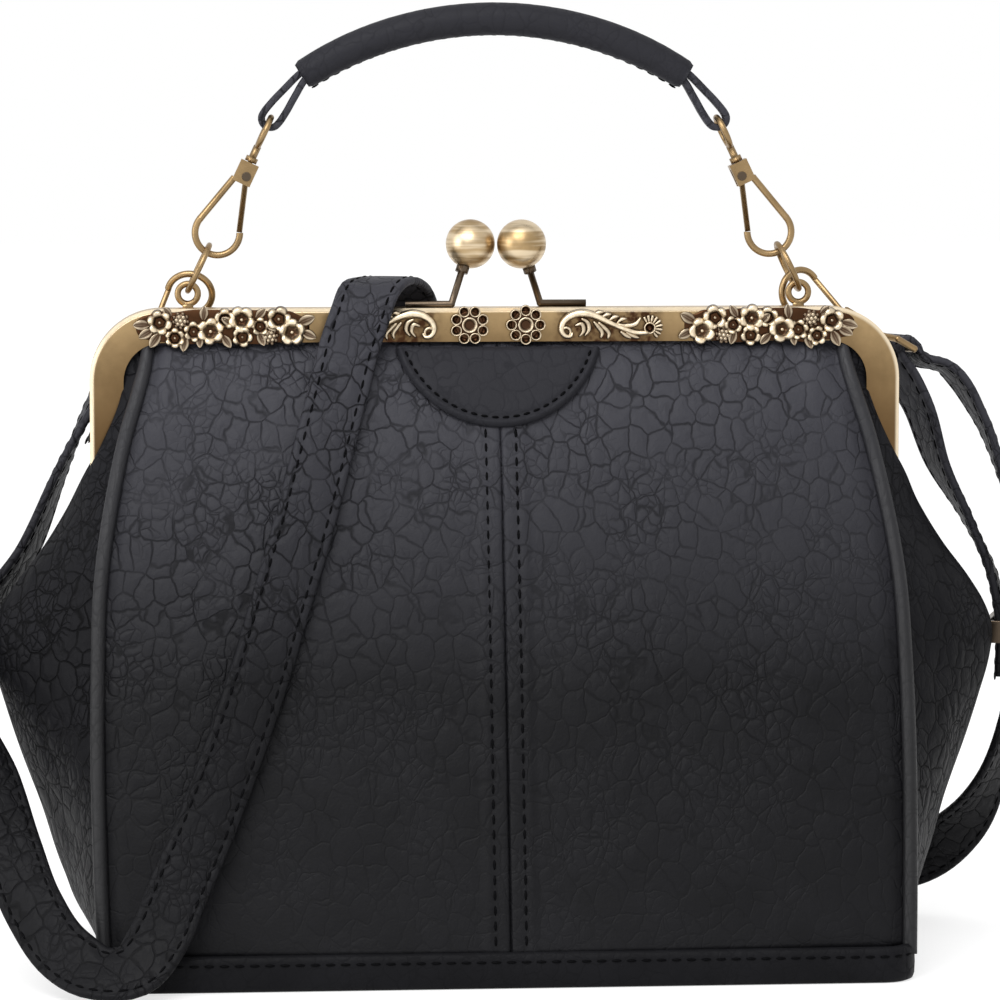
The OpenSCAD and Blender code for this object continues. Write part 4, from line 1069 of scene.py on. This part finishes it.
def backing():
    """The thin plate that joins a spray's flowers, with a wavy outline."""
    sides = 80
    rows = ((1.0, 0.0), (0.985, 0.32), (0.95, 0.4))
    points = []
    for share, height in rows:
        for k, (c, s) in enumerate(circle(sides)):
            a = 2 * math.pi * k / sides
            wave = 1.0 + 0.05 * math.sin(9 * a) + 0.04 * math.sin(14 * a + 1)
            px = 22.4 * math.copysign(abs(c) ** 0.6, c)
            pz = 4.4 * wave * math.copysign(abs(s) ** 0.6, s)
            points.append(front(FRAME_HALF - 34.4 + share * px, BAR_MID - 0.3 + share * pz, height))
    faces = [tuple((len(rows) - 1) * sides + k for k in range(sides)), tuple(reversed(range(sides)))]
    return points, grid_faces(len(rows), sides, wrap=True) + faces


def stroke(path, widths, crown, sides=8):
    """A raised stroke along (x, z) points, with its half width at each point."""
    pts = smooth_rows([(x, 0, z) for x, z in path], 5)[0]
    w = np.interp(np.linspace(0, 1, len(pts)), np.linspace(0, 1, len(widths)), widths)
    points = []
    for i, p in enumerate(pts):
        a, b = pts[max(i - 1, 0)], pts[min(i + 1, len(pts) - 1)]
        t = unit((b[0] - a[0], 0, b[2] - a[2]))
        height = crown * min(1.0, 0.45 + w[i] / max(widths))
        for k in range(sides):
            angle = math.pi * k / (sides - 1)
            reach = w[i] * math.cos(angle)
            points.append(front(p[0] - t[2] * reach, p[2] + t[0] * reach, height * math.sin(angle) ** 0.7))
    ends = [tuple(range(sides)), tuple(reversed(range((len(pts) - 1) * sides, len(pts) * sides)))]
    return points, grid_faces(len(pts), sides, wrap=True) + ends


def cast(name, shapes, sign=1):
    """One piece from shapes, turned over to the left if the sign is negative."""
    points, faces = [], []
    for shape_points, shape_faces in shapes:
        start = len(points)
        points += [(x * sign, y, z) for x, y, z in shape_points]
        faces += [tuple(start + k for k in (f if sign > 0 else f[::-1])) for f in shape_faces]
    return outward(new_piece(name, points, faces))


# A spray's flowers: distance from the frame's outer edge, height over the bar's middle, size, base;
# its buds and leaves: the same two, size or length, turn
SPRAY = (
    (18.1, 0.9, 3.5, 0.15), (26.9, -1.5, 3.0, 0.0), (31.2, -1.4, 3.8, 0.4), (34.9, 1.7, 3.0, 0.1),
    (39.2, 1.6, 3.7, 0.35), (44.0, -0.2, 2.7, 0.0), (48.8, 1.7, 3.5, 0.15), (52.2, -1.7, 3.8, 0.45),
    (39.4, -2.9, 3.0, 0.0), (22.0, -3.1, 2.9, 0.1),
)
SPRAY_BUDS = ((23.5, 1.4, 2.1, 1.2), (46.5, -2.8, 2.1, -1.2))
SPRAY_LEAVES = (
    (15.4, 0.4, 4.2, 3.3), (16.2, -1.0, 4.0, 3.8), (18.0, -2.0, 4.2, 4.1), (24.6, -2.6, 4.0, 4.5),
    (29.4, 1.6, 3.6, 1.3), (34.4, -2.6, 3.6, -0.9), (37.0, 0.4, 3.4, 2.6), (43.0, 2.0, 3.4, 0.9),
    (43.6, -1.8, 3.6, -1.2), (54.0, 0.6, 4.4, 0.5), (54.8, -1.6, 4.0, -0.5), (21.0, 2.6, 3.0, 2.4),
    (45.6, 0.4, 3.0, -0.4), (28.4, -2.6, 3.0, -1.6),
)


class HANDBAG_OT_sprays(bpy.types.Operator):
    """The two sprays of flowers on the frame's front"""
    bl_idname = "handbag.sprays"
    bl_label = "Flower Sprays"

    def execute(self, context):
        for side, sign in LEFT_RIGHT:
            draw = random.Random(SEED + sign)
            shapes = [backing()]
            for out, rise, length, turn in SPRAY_LEAVES:
                turned = math.pi - turn + draw.uniform(-0.2, 0.2)
                shapes.append(leaf(FRAME_HALF - out, BAR_MID + rise, length, turned))
            for out, rise, r, turn in SPRAY_BUDS:
                shapes += bud(FRAME_HALF - out, BAR_MID + rise, r, turn)
            for out, rise, r, base in SPRAY:
                shapes += blossom(FRAME_HALF - out, BAR_MID + rise, r, draw.uniform(0, 6.3),
                                  draw.choice((5, 5, 6)), base, draw.uniform(-0.2, 0.2))
            piece = cast(f"{side}_flowers", shapes, sign)
            finish_piece(piece, "relief", "front_half", (f"{side}_flower_spray",))
        return {"FINISHED"}


# The scroll, from its inner end on the bar's middle line: its stem, and its (points, widths, crown) leaves
SCROLL_START = 15.6
SCROLL_STEM = ((3.9, -2.0), (3.3, -3.0), (2.0, -2.9), (1.0, -1.6), (1.3, 0.4), (3.2, 2.2), (6.4, 3.0),
               (10.0, 2.2), (13.4, 0.6), (17.0, -1.0), (20.6, -2.1), (23.4, -2.1))
STEM_WIDTHS = (0.4, 0.6, 0.75, 0.85, 0.95, 1.05, 1.15, 1.0, 0.85, 0.8, 0.8, 0.7)
SCROLL_LEAVES = (
    ((4.6, -0.2), (6.2, 0.2), (6.8, -1.4), (5.6, -3.2)), ((6.2, 1.6), (7.8, 0.6), (8.2, -1.2), (7.0, -3.0)),
    ((9.4, 0.8), (10.6, -0.6), (11.6, -2.2), (11.2, -3.6)),
    ((10.6, 0.6), (12.2, -0.8), (13.4, -2.4), (13.0, -3.8)),
    ((16.4, -1.8), (18.0, -2.9), (19.2, -3.6)), ((18.0, -2.0), (19.8, -3.0), (21.4, -3.5)),
)
SCROLL_EYE = (24.0, -0.9)


def scroll_strokes():
    """Each stroke of a scroll: its points, half widths, height and sides."""
    yield SCROLL_STEM, STEM_WIDTHS, 1.9, 12
    curl = [(2.2 + 1.15 * math.cos(a), -1.9 + 1.15 * math.sin(a)) for a in np.linspace(3.4, -1.6, 12)]
    yield curl, (0.5, 0.55, 0.35), 1.5, 10
    for path in SCROLL_LEAVES:
        yield path, (0.4, 0.75, 0.7, 0.25), 1.45, 8
    for k in range(4):
        start, drop = 9.4 + 2.0 * k, 0.6 * k
        path = ((start, 2.6 - 0.75 * k), (start + 1.4, 3.2 - drop), (start + 2.6, 3.3 - drop))
        yield path, (0.35, 0.7, 0.25), 1.5, 8
    yield ((15.4, 0.2), (18.0, -0.3), (20.4, 0.2), (21.6, 1.8)), (0.35, 0.75, 0.75, 0.35), 1.6, 8
    for k in range(9):
        ray = np.array((math.cos(math.radians(118 - 21 * k)), math.sin(math.radians(118 - 21 * k))))
        tip = 3.5 - 0.08 * abs(k - 4)
        yield (SCROLL_EYE + 1.5 * ray, SCROLL_EYE + tip * ray), (0.28, 0.52, 0.5), 1.45, 8


class HANDBAG_OT_scrolls(bpy.types.Operator):
    """The two leafy scrolls beside the rosettes"""
    bl_idname = "handbag.scrolls"
    bl_label = "Scrolls"

    def execute(self, context):
        at = np.array((SCROLL_START, BAR_MID))
        shapes = [stroke(np.array(path) + at, widths, crown, sides)
                  for path, widths, crown, sides in scroll_strokes()]
        shapes.append(dish(*(at + SCROLL_EYE), 1.45, 1.75, 0.95, 18))
        for side, sign in LEFT_RIGHT:
            piece = cast(f"{side}_scrollwork", shapes, sign)
            finish_piece(piece, "relief", "front_half", (f"{side}_scroll",))
        return {"FINISHED"}


def ring_of_cups_tree():
    """A node tree that sets copies of a cup round a ring, facing the front."""
    g, given = new_group("Ring Of Cups", (
        ("Cups", "NodeSocketInt", 8), ("Ring Radius", "NodeSocketFloat", 3.72 * MM),
        ("Turn", "NodeSocketFloat", 0.0)))
    ring = g.put("GeometryNodeMeshCircle", {"Vertices": given["Cups"], "Radius": given["Ring Radius"]})
    angle = g.put("ShaderNodeCombineXYZ", {"Z": given["Turn"]})
    spun = g.put("GeometryNodeTransform", {"Geometry": ring.outputs[0], "Rotation": angle.outputs[0]})
    upright = g.put("GeometryNodeTransform", {"Geometry": spun.outputs[0], "Rotation": (math.pi / 2, 0, 0)})
    laid = g.put("GeometryNodeInstanceOnPoints", {
        "Points": upright.outputs[0], "Instance": given["Geometry"]})
    return end_group(g, laid, given["Material"])


class HANDBAG_OT_rosettes(bpy.types.Operator):
    """The two round flowers of eight cups in the frame's middle"""
    bl_idname = "handbag.rosettes"
    bl_label = "Rosettes"

    def execute(self, context):
        tree = ring_of_cups_tree()
        for (side, _), turn in zip(LEFT_RIGHT, (math.radians(22.5), 0.0)):
            low, high = corners(f"{side}_rosette")
            x = (low[0] + high[0]) / 2
            petals = run_tree(new_piece(f"{side}_petals", *dish(0, 0, 1.36, 1.55, 0.9, 18)), tree, {
                "Cups": 8, "Ring Radius": 3.72 * MM, "Turn": turn, "Material": MATERIALS["relief"]})
            petals.data.transform(Matrix.Translation((x * MM, 0, BAR_MID * MM)))
            middle = cast("middle", (dish(x, BAR_MID, 1.95, 1.6, 0.8, 24),
                                     dish(x, BAR_MID, 3.5, 0.55, 0.0, 32)))
            piece = outward(joined(f"{side}_rosette_flower", [petals, middle]))
            smooth_shaded(piece.data)
            finish_piece(piece, "relief", "front_half", (f"{side}_rosette",))
        return {"FINISHED"}


# Hooks, rings and handle


class HANDBAG_OT_rings(bpy.types.Operator):
    """The eyes on the frame and the jump rings in them"""
    bl_idname = "handbag.rings"
    bl_label = "Eyes and Jump Rings"

    def execute(self, context):
        for side, _ in LEFT_RIGHT:
            for name, node, body in (("eye", "frame_eye", "bag"), ("link", "jump_ring", f"{side}_ring")):
                piece = from_node(f"{side}_{name}_ring", f"{side}_{node}")
                finish_piece(piece, "hardware", body, (f"{side}_{node}",))
        return {"FINISHED"}


def draw_out(piece, pivot, more):
    """Draws a gate's free end out, away from its pivot and towards the hook's nose."""
    points = np.array([tuple(v.co) for v in piece.data.vertices]) / MM
    middle = points.mean(axis=0)
    along = np.linalg.svd(points - middle, full_matrices=False)[2][0]
    if np.dot(middle - pivot, along) < 0:
        along = -along
    place = (points - middle) @ along
    for vertex, far in zip(piece.data.vertices, place):
        if far > place.max() - 0.6:
            vertex.co += Vector(along * more * MM)


# Each hook's nodes after the side's name: the node, the body it rides on and how much its edges are rounded
HOOK_NODES = (
    ("handle_hook", "{}_hook", 0.3), ("handle_hook_rivet", "{}_hook", 0.1), ("handle_gate", "{}_gate", 0.0),
    ("handle_swivel", "handle", 0.0), ("strap_hook", "{}_strap_hook_body", 0.3),
    ("strap_hook_rivet", "{}_strap_hook_body", 0.1), ("strap_gate", "{}_strap_gate_body", 0.0),
    ("strap_swivel", "bag", 0.0),
)


class HANDBAG_OT_hooks(bpy.types.Operator):
    """The swivel hooks of the handle and of the strap, with their gates and rivets"""
    bl_idname = "handbag.hooks"
    bl_label = "Swivel Hooks"

    def execute(self, context):
        for node, body, bevel in [(f"{side}_{node}", body.format(side), bevel) for side, _ in LEFT_RIGHT
                                  for node, body, bevel in HOOK_NODES]:
            piece = from_node(node + "_part", node, bevel=bevel)
            if node.endswith("gate"):
                draw_out(piece, sum(corners(node.replace("gate", "hook_rivet"))) / 2, 1.0)
            finish_piece(piece, "wire" if node.endswith("rivet") else "hardware", body, (node,))
        return {"FINISHED"}


def grip_point(angle):
    return np.array([GRIP_R * math.sin(angle), GRIP_Y, GRIP_TOP - GRIP_R + GRIP_R * math.cos(angle)])


class HANDBAG_OT_handle(bpy.types.Operator):
    """The stuffed leather grip and its core"""
    bl_idname = "handbag.handle"
    bl_label = "Handle Grip"

    def execute(self, context):
        points, uvs = [], []
        sides = 40
        rims = [(-GRIP_HALF, 0.72), (-GRIP_HALF, 0.9)]
        rows = rims + [(a, 1.0) for a in np.linspace(-GRIP_HALF, GRIP_HALF, 90)]
        rows += [(-a, share) for a, share in reversed(rims)]
        for a, share in rows:
            edge = 0.12 if abs(abs(a) - GRIP_HALF) < 0.012 and share == 1.0 else 0.0
            taper = 1.0 - 0.10 * (abs(a) / GRIP_HALF) ** 4 - edge
            up = np.array((math.sin(a), 0, math.cos(a)))
            for k, (c, s) in enumerate(circle(sides)):
                t = 2 * math.pi * k / sides
                wrinkle = 0.015 * noise.noise(Vector((a * 60, c * 2, s * 2)))
                seam = -0.35 * math.exp(-((t - 1.5 * math.pi) / 0.09) ** 2) * (share == 1.0)
                r = GRIP_THICK * (taper + wrinkle) * share + seam
                points.append(grip_point(a) + r * (s * up + (0, c, 0)))
                uvs.append((GRIP_R * a * UV_SCALE, t))
        grip = new_piece("grip_leather", points, grid_faces(len(rows), sides, wrap=True), uvs)
        finish_piece(outward(grip, tuple(grip_point(0))), "smooth", "handle", ("handle_grip",))
        finish_piece(from_node("grip_core", "handle_core"), "board", "handle", ("handle_core",))
        line = []
        for a in np.linspace(-GRIP_HALF * 0.97, GRIP_HALF * 0.97, 60):
            out = unit((-math.sin(a), 0.35, -math.cos(a)))
            line.append((grip_point(a) + out * (GRIP_THICK * 0.985), out))
        stitched("grip_stitches", [line], "handle", Pitch=3.2, Length=2.2, Thread=0.6)
        return {"FINISHED"}


class HANDBAG_OT_handle_loops(bpy.types.Operator):
    """The leather loops that join the grip to the hooks' swivels"""
    bl_idname = "handbag.handle_loops"
    bl_label = "Handle Loops"

    def execute(self, context):
        bend = 2.35
        w, t, c = 2.0, 0.9, 0.35
        right = [(w, c - t), (w, t - c), (w - c, t), (c - w, t)]
        section = right + [(-x, -y) for x, y in right]
        for side, sign in LEFT_RIGHT:
            low, high = corners(f"{side}_handle_loop")
            end = grip_point(GRIP_HALF)
            far = abs(high[0] if sign > 0 else low[0])
            seat = np.array([far - bend - 0.9, GRIP_Y, low[2] + bend + 0.9])
            axis = unit(end - seat)
            out = unit(np.cross(axis, (0, 1, 0)))
            into = unit((-math.cos(GRIP_HALF), 0, math.sin(GRIP_HALF)))
            leg = ((end + into * 5.5, 0.92), (end + into * 1.0, 0.95), (seat + axis * 8.0, 1.7),
                   (seat + axis * 3.0, 2.3))
            strip = [p + out * off for p, off in leg]
            strip += [seat + bend * (math.cos(a) * out - math.sin(a) * axis)
                      for a in np.linspace(0, math.pi, 9)]
            strip += [p - out * off for p, off in reversed(leg)]
            path = [p * (sign, 1, 1) for p in smooth_rows(strip, 5)[0]]
            piece = swept(f"{side}_loop_strip", path, section, across=(0, 1, 0))
            finish_piece(piece, "strap", "handle", (f"{side}_handle_loop",), crease=50)
        return {"FINISHED"}


# Shoulder strap

# The strap's route from its left loop to its right one, and back from there: each row is a point on its
# middle line and the direction of its width
STRAP_TAIL = ((-105.2, 21.0, 134.0, 0.12, 0.93, 0.3), (-102.2, 22.0, 139.5, 0.105, 0.9075, 0.4067))
STRAP = (
    (-114, 20, 125, 0.2, 0.97, 0.1), (-121.5, 17, 107, 0.35, 0.93, 0.05), (-134, 8, 88, 0.5, 0.85, 0.05),
    (-139, -8, 68, 0.7, 0.7, 0.1), (-131, -22, 50, 0.9, 0.4, 0.15), (-126, -33, 35, 0.9, 0.25, 0.35),
    (-120, -44, 21, 0.75, 0.15, 0.65), (-112, -53, 11, 0.5, 0.3, 0.8), (-103, -59, 7, 0.1, 0.7, 0.7),
    (-95, -60, 8, -0.3, 0.6, 0.7), (-89, -57, 15, -0.75, 0.3, 0.5), (-84, -53, 26, -0.9, 0.1, 0.43),
    (-78, -48, 39, -0.9, 0.05, 0.43), (-71, -42.5, 56, -0.92, 0, 0.38), (-64, -37, 75, -0.93, 0, 0.36),
    (-57, -31, 97, -0.95, 0, 0.3), (-51, -25.5, 116, -0.95, 0, 0.3), (-46, -20, 134, -0.95, 0, 0.28),
    (-41.5, -14, 150, -0.95, 0, 0.28), (-38.5, -10.8, 161, -0.95, 0, 0.25), (-36, -9.8, 168, -0.95, 0, 0.2),
    (-33.5, -6.5, 174, -0.95, 0.1, 0.1), (-30, -1, 176.5, -0.92, 0.3, 0), (-26.5, 5, 176.5, -0.92, 0.35, 0),
    (-23.5, 10.5, 173, -0.92, 0.2, -0.1), (-21, 14, 166, -0.93, 0, -0.3), (-17, 17, 153, -0.93, 0, -0.35),
    (-10, 21.5, 136, -0.92, 0, -0.4), (-1, 28, 117, -0.9, 0, -0.45), (11, 34.5, 96, -0.87, 0, -0.5),
    (26, 40.5, 74, -0.83, 0, -0.55), (43, 46.5, 53, -0.78, 0, -0.62), (63, 52.5, 34, -0.7, 0, -0.7),
    (84, 57, 20, -0.5, 0, -0.85), (103, 56, 13, -0.2, 0, -0.97), (118, 48, 15, 0.2, 0.1, -0.97),
    (129, 36, 25, 0.4, 0.5, -0.75), (136, 25, 41, 0.4, 0.8, -0.45), (140, 18, 61, 0.35, 0.9, -0.2),
    (142, 15, 83, 0.3, 0.95, 0), (141, 15, 105, 0.3, 0.95, 0.1), (137, 17, 124, 0.1, 0.97, 0.1),
    (131, 19, 140, -0.1, 0.98, 0.1), (122, 21, 152.5, -0.32, 0.95, 0.05),
)
STRAP_RETURN = (
    (114.5, 20.5, 143, -0.36, 0.93, 0), (120, 19.5, 127, -0.2, 0.98, 0), (128, 17.5, 112, 0.05, 0.99, 0),
    (134.5, 15.5, 97, 0.2, 0.96, 0.05), (137, 14.5, 84, 0.3, 0.95, 0), (137, 15, 71, 0.3, 0.95, -0.1),
)
# The bars of the two wide loops: middle and direction
LEFT_BAR = ((-99.9, 22.0, 149.5), (0.105, 0.9075, 0.4067))
RIGHT_BAR = ((108.4, 22.3, 157.9), (-0.438, 0.899, 0.0))


def round_bar(bar, before, after, steps=8):
    """Rows that take the strap from one row's point round a bar towards another's."""
    middle, along = np.array(bar[0], float), unit(bar[1])
    before, after = np.array(before[:3]), np.array(after[:3])

    def flat(p):
        v = p - middle
        return v - np.dot(v, along) * along

    away = unit(flat(before) + flat(after))
    side = unit(np.cross(along, away))
    if np.dot(flat(before) - flat(after), side) < 0:
        side = -side
    turn = [middle + BAR_TURN_R * (math.cos(a) * side - math.sin(a) * away)
            for a in np.linspace(0, math.pi, steps + 1)]
    ends = [p + 6 * unit(unit(towards - p) + away)
            for p, towards in ((middle + BAR_TURN_R * side, before), (middle - BAR_TURN_R * side, after))]
    width = along if along[1] > 0 else -along
    return [(*p, *width) for p in (ends[0], *turn, ends[1])]


def strap_section():
    """The folded strap's section: flat faces a little sunk at the stitch lines, round edges."""
    w, t = STRAP_W / 2, STRAP_T / 2
    side = [(w * share, t * rise) for share, rise in (
        (0.0, 1.0), (0.35, 1.0), (0.62, 0.97), (0.72, 0.80), (0.80, 0.92), (0.9, 0.86), (0.97, 0.55))]
    right = side[1:] + [(w, 0.0)] + [(x, -y) for x, y in reversed(side)]
    return right + [(-x, -y) for x, y in right]


class HANDBAG_OT_strap(bpy.types.Operator):
    """The long shoulder strap, its returned end and its slide"""
    bl_idname = "handbag.strap"
    bl_label = "Shoulder Strap"

    def execute(self, context):
        left = round_bar(LEFT_BAR, STRAP_TAIL[-1], STRAP[0])
        right = round_bar(RIGHT_BAR, STRAP[-1], STRAP_RETURN[0])
        rows = [*STRAP_TAIL, *left, *STRAP, *right, *STRAP_RETURN]
        path, ways = smooth_rows([r[:3] for r in rows], None, 2.4, ([unit(r[3:]) for r in rows],))
        ways = [unit(w) for w in ways]
        strap = swept("shoulder_strap_leather", path, strap_section(), across=ways)
        finish_piece(strap, "strap", nodes=("shoulder_strap", "strap_return"), fold=STRAP_FOLD)
        lines = [[(p + side * edge * STRAP_W / 2 + face * top * (STRAP_T / 2 * 0.8 + 0.05), face * top)
                  for p, (side, face) in zip(path, frames_along(path, ways))]
                 for top in (1, -1) for edge in (-STRAP_STITCH, STRAP_STITCH)]
        stitches = stitched("shoulder_strap_stitches", lines, fold=STRAP_FOLD, Length=2.6, Thread=0.7)
        finish_piece(from_node("strap_slide", "strap_slider", bevel=0.3), "wire", nodes=("strap_slider",))
        return {"FINISHED"}


# Stage

CAMERA_EYE = (-91.9, -1181.4, 223.2)
CAMERA_TURN, CAMERA_RISE = 4.5, 5.0     # degrees
FOCAL_PIXELS, PICTURE_PIXELS = 4550, 1000
SENSOR = 36.0
FLOOR_HALF = 6.0                        # metres
TARGET = (0, 0, 0.12)


def seen_ray(g):
    """1 for a ray that shows the background: straight from the camera, mirrored or through glass."""
    ray = g.put("ShaderNodeLightPath").outputs
    seen = g.calc("MAXIMUM", ray["Is Camera Ray"], ray["Is Glossy Ray"])
    return g.calc("MAXIMUM", seen, ray["Is Transmission Ray"])


def world_light(scene):
    """Soft light from above, and a white background where the world is seen."""
    scene.world = bpy.data.worlds.new("studio")
    scene.world.use_nodes = True
    g = Nodes(scene.world.node_tree)
    g.tree.nodes.clear()
    where = g.put("ShaderNodeTexCoord").outputs["Generated"]
    height = g.put("ShaderNodeSeparateXYZ", {0: where}).outputs[2]
    strengths = (g.ramp(height, -0.1, 0.85, 0.32, 1.25, smooth=True), 1.0)
    lights = [g.put("ShaderNodeBackground", {"Color": (1, 1, 1, 1), "Strength": strength}).outputs[0]
              for strength in strengths]
    mixed = g.put("ShaderNodeMixShader", {0: seen_ray(g), 1: lights[0], 2: lights[1]})
    g.put("ShaderNodeOutputWorld", {0: mixed.outputs[0]})


def floor_material(colour):
    """A pale floor that keeps the bag's shadow and shows nearly white."""
    material, g, shader, _, _ = new_material("pale floor")
    g.join(shader, {"Base Color": (*colour, 1), "Roughness": 0.9, "Specular IOR Level": 0.0})
    glow = g.put("ShaderNodeEmission", {"Color": (1, 1, 1, 1), "Strength": 1.12})
    share = g.product(seen_ray(g), 0.6)
    mixed = g.put("ShaderNodeMixShader", {0: share, 1: shader.outputs[0], 2: glow.outputs[0]})
    g.join(material.node_tree.get_output_node("ALL"), {0: mixed.outputs[0]})
    return material


def area_lamp(name, place, size, power):
    light = bpy.data.lights.new(name, "AREA")
    light.shape = "RECTANGLE"
    light.size, light.size_y = size
    light.energy = power
    lamp = link(name, light)
    lamp.location = place
    lamp.rotation_euler = (Vector(TARGET) - Vector(place)).to_track_quat("-Z", "Y").to_euler()


class HANDBAG_OT_stage(bpy.types.Operator):
    """The camera, the floor and the studio light"""
    bl_idname = "handbag.stage"
    bl_label = "Stage"

    def execute(self, context):
        scene = context.scene
        look = scene.handbag_stage
        scene.view_settings.view_transform = "Standard"
        lens = bpy.data.cameras.new("camera")
        lens.sensor_width = SENSOR
        lens.lens = SENSOR * FOCAL_PIXELS / PICTURE_PIXELS
        lens.clip_end = 50
        scene.camera = link("camera", lens)
        scene.camera.location = Vector(CAMERA_EYE) * MM
        scene.camera.rotation_euler = (math.radians(90 - CAMERA_RISE), 0, -math.radians(CAMERA_TURN))
        mesh = bpy.data.meshes.new("floor")
        square = [(x * FLOOR_HALF, y * FLOOR_HALF, 0) for x, y in ((-1, -1), (1, -1), (1, 1), (-1, 1))]
        mesh.from_pydata(square, [], [(0, 1, 2, 3)])
        mesh.materials.append(floor_material(look.floor))
        link("floor", mesh)
        world_light(scene)
        area_lamp("key lamp", (-0.35, -0.9, 1.1), (1.0, 0.7), look.key)
        area_lamp("fill lamp", (-1.2, -0.5, 0.35), (0.7, 0.9), look.fill)
        return {"FINISHED"}


class HANDBAG_PT_panel(bpy.types.Panel):
    """Sizes, colours and pieces of the handbag"""
    bl_idname = "HANDBAG_PT_panel"
    bl_label = "Handbag"
    bl_space_type = "VIEW_3D"
    bl_region_type = "UI"
    bl_category = "Handbag"

    def draw(self, context):
        layout = self.layout
        for name in GROUPS:
            group = getattr(context.scene, name)
            box = layout.box()
            box.label(text=name.split("_")[1].title())
            for key in group.bl_rna.properties.keys():
                if key not in ("rna_type", "name"):
                    box.prop(group, key)
        for operator in OPERATORS:
            layout.operator(operator.bl_idname)


GROUPS = {
    "handbag_leather": HandbagLeather, "handbag_brass": HandbagBrass,
    "handbag_sewing": HandbagSewing, "handbag_stage": HandbagStage,
}
OPERATORS = (
    HANDBAG_OT_stage, HANDBAG_OT_strap, HANDBAG_OT_frame, HANDBAG_OT_lock, HANDBAG_OT_sprays,
    HANDBAG_OT_scrolls, HANDBAG_OT_rosettes, HANDBAG_OT_rings, HANDBAG_OT_hooks, HANDBAG_OT_handle,
    HANDBAG_OT_handle_loops, HANDBAG_OT_front_panels, HANDBAG_OT_back_panels, HANDBAG_OT_pipings,
    HANDBAG_OT_side_folds, HANDBAG_OT_base, HANDBAG_OT_tab, HANDBAG_OT_lining,
)


def register():
    for name, group in GROUPS.items():
        bpy.utils.register_class(group)
        setattr(bpy.types.Scene, name, PointerProperty(type=group))
    for operator in OPERATORS:
        bpy.utils.register_class(operator)
    bpy.utils.register_class(HANDBAG_PT_panel)


def unregister():
    bpy.utils.unregister_class(HANDBAG_PT_panel)
    for operator in reversed(OPERATORS):
        bpy.utils.unregister_class(operator)
    for name, group in GROUPS.items():
        delattr(bpy.types.Scene, name)
        bpy.utils.unregister_class(group)


def main():
    register()
    make_materials()
    for operator in OPERATORS:
        group, name = operator.bl_idname.split(".")
        getattr(getattr(bpy.ops, group), name)()


if __name__ == "__main__":
    main()
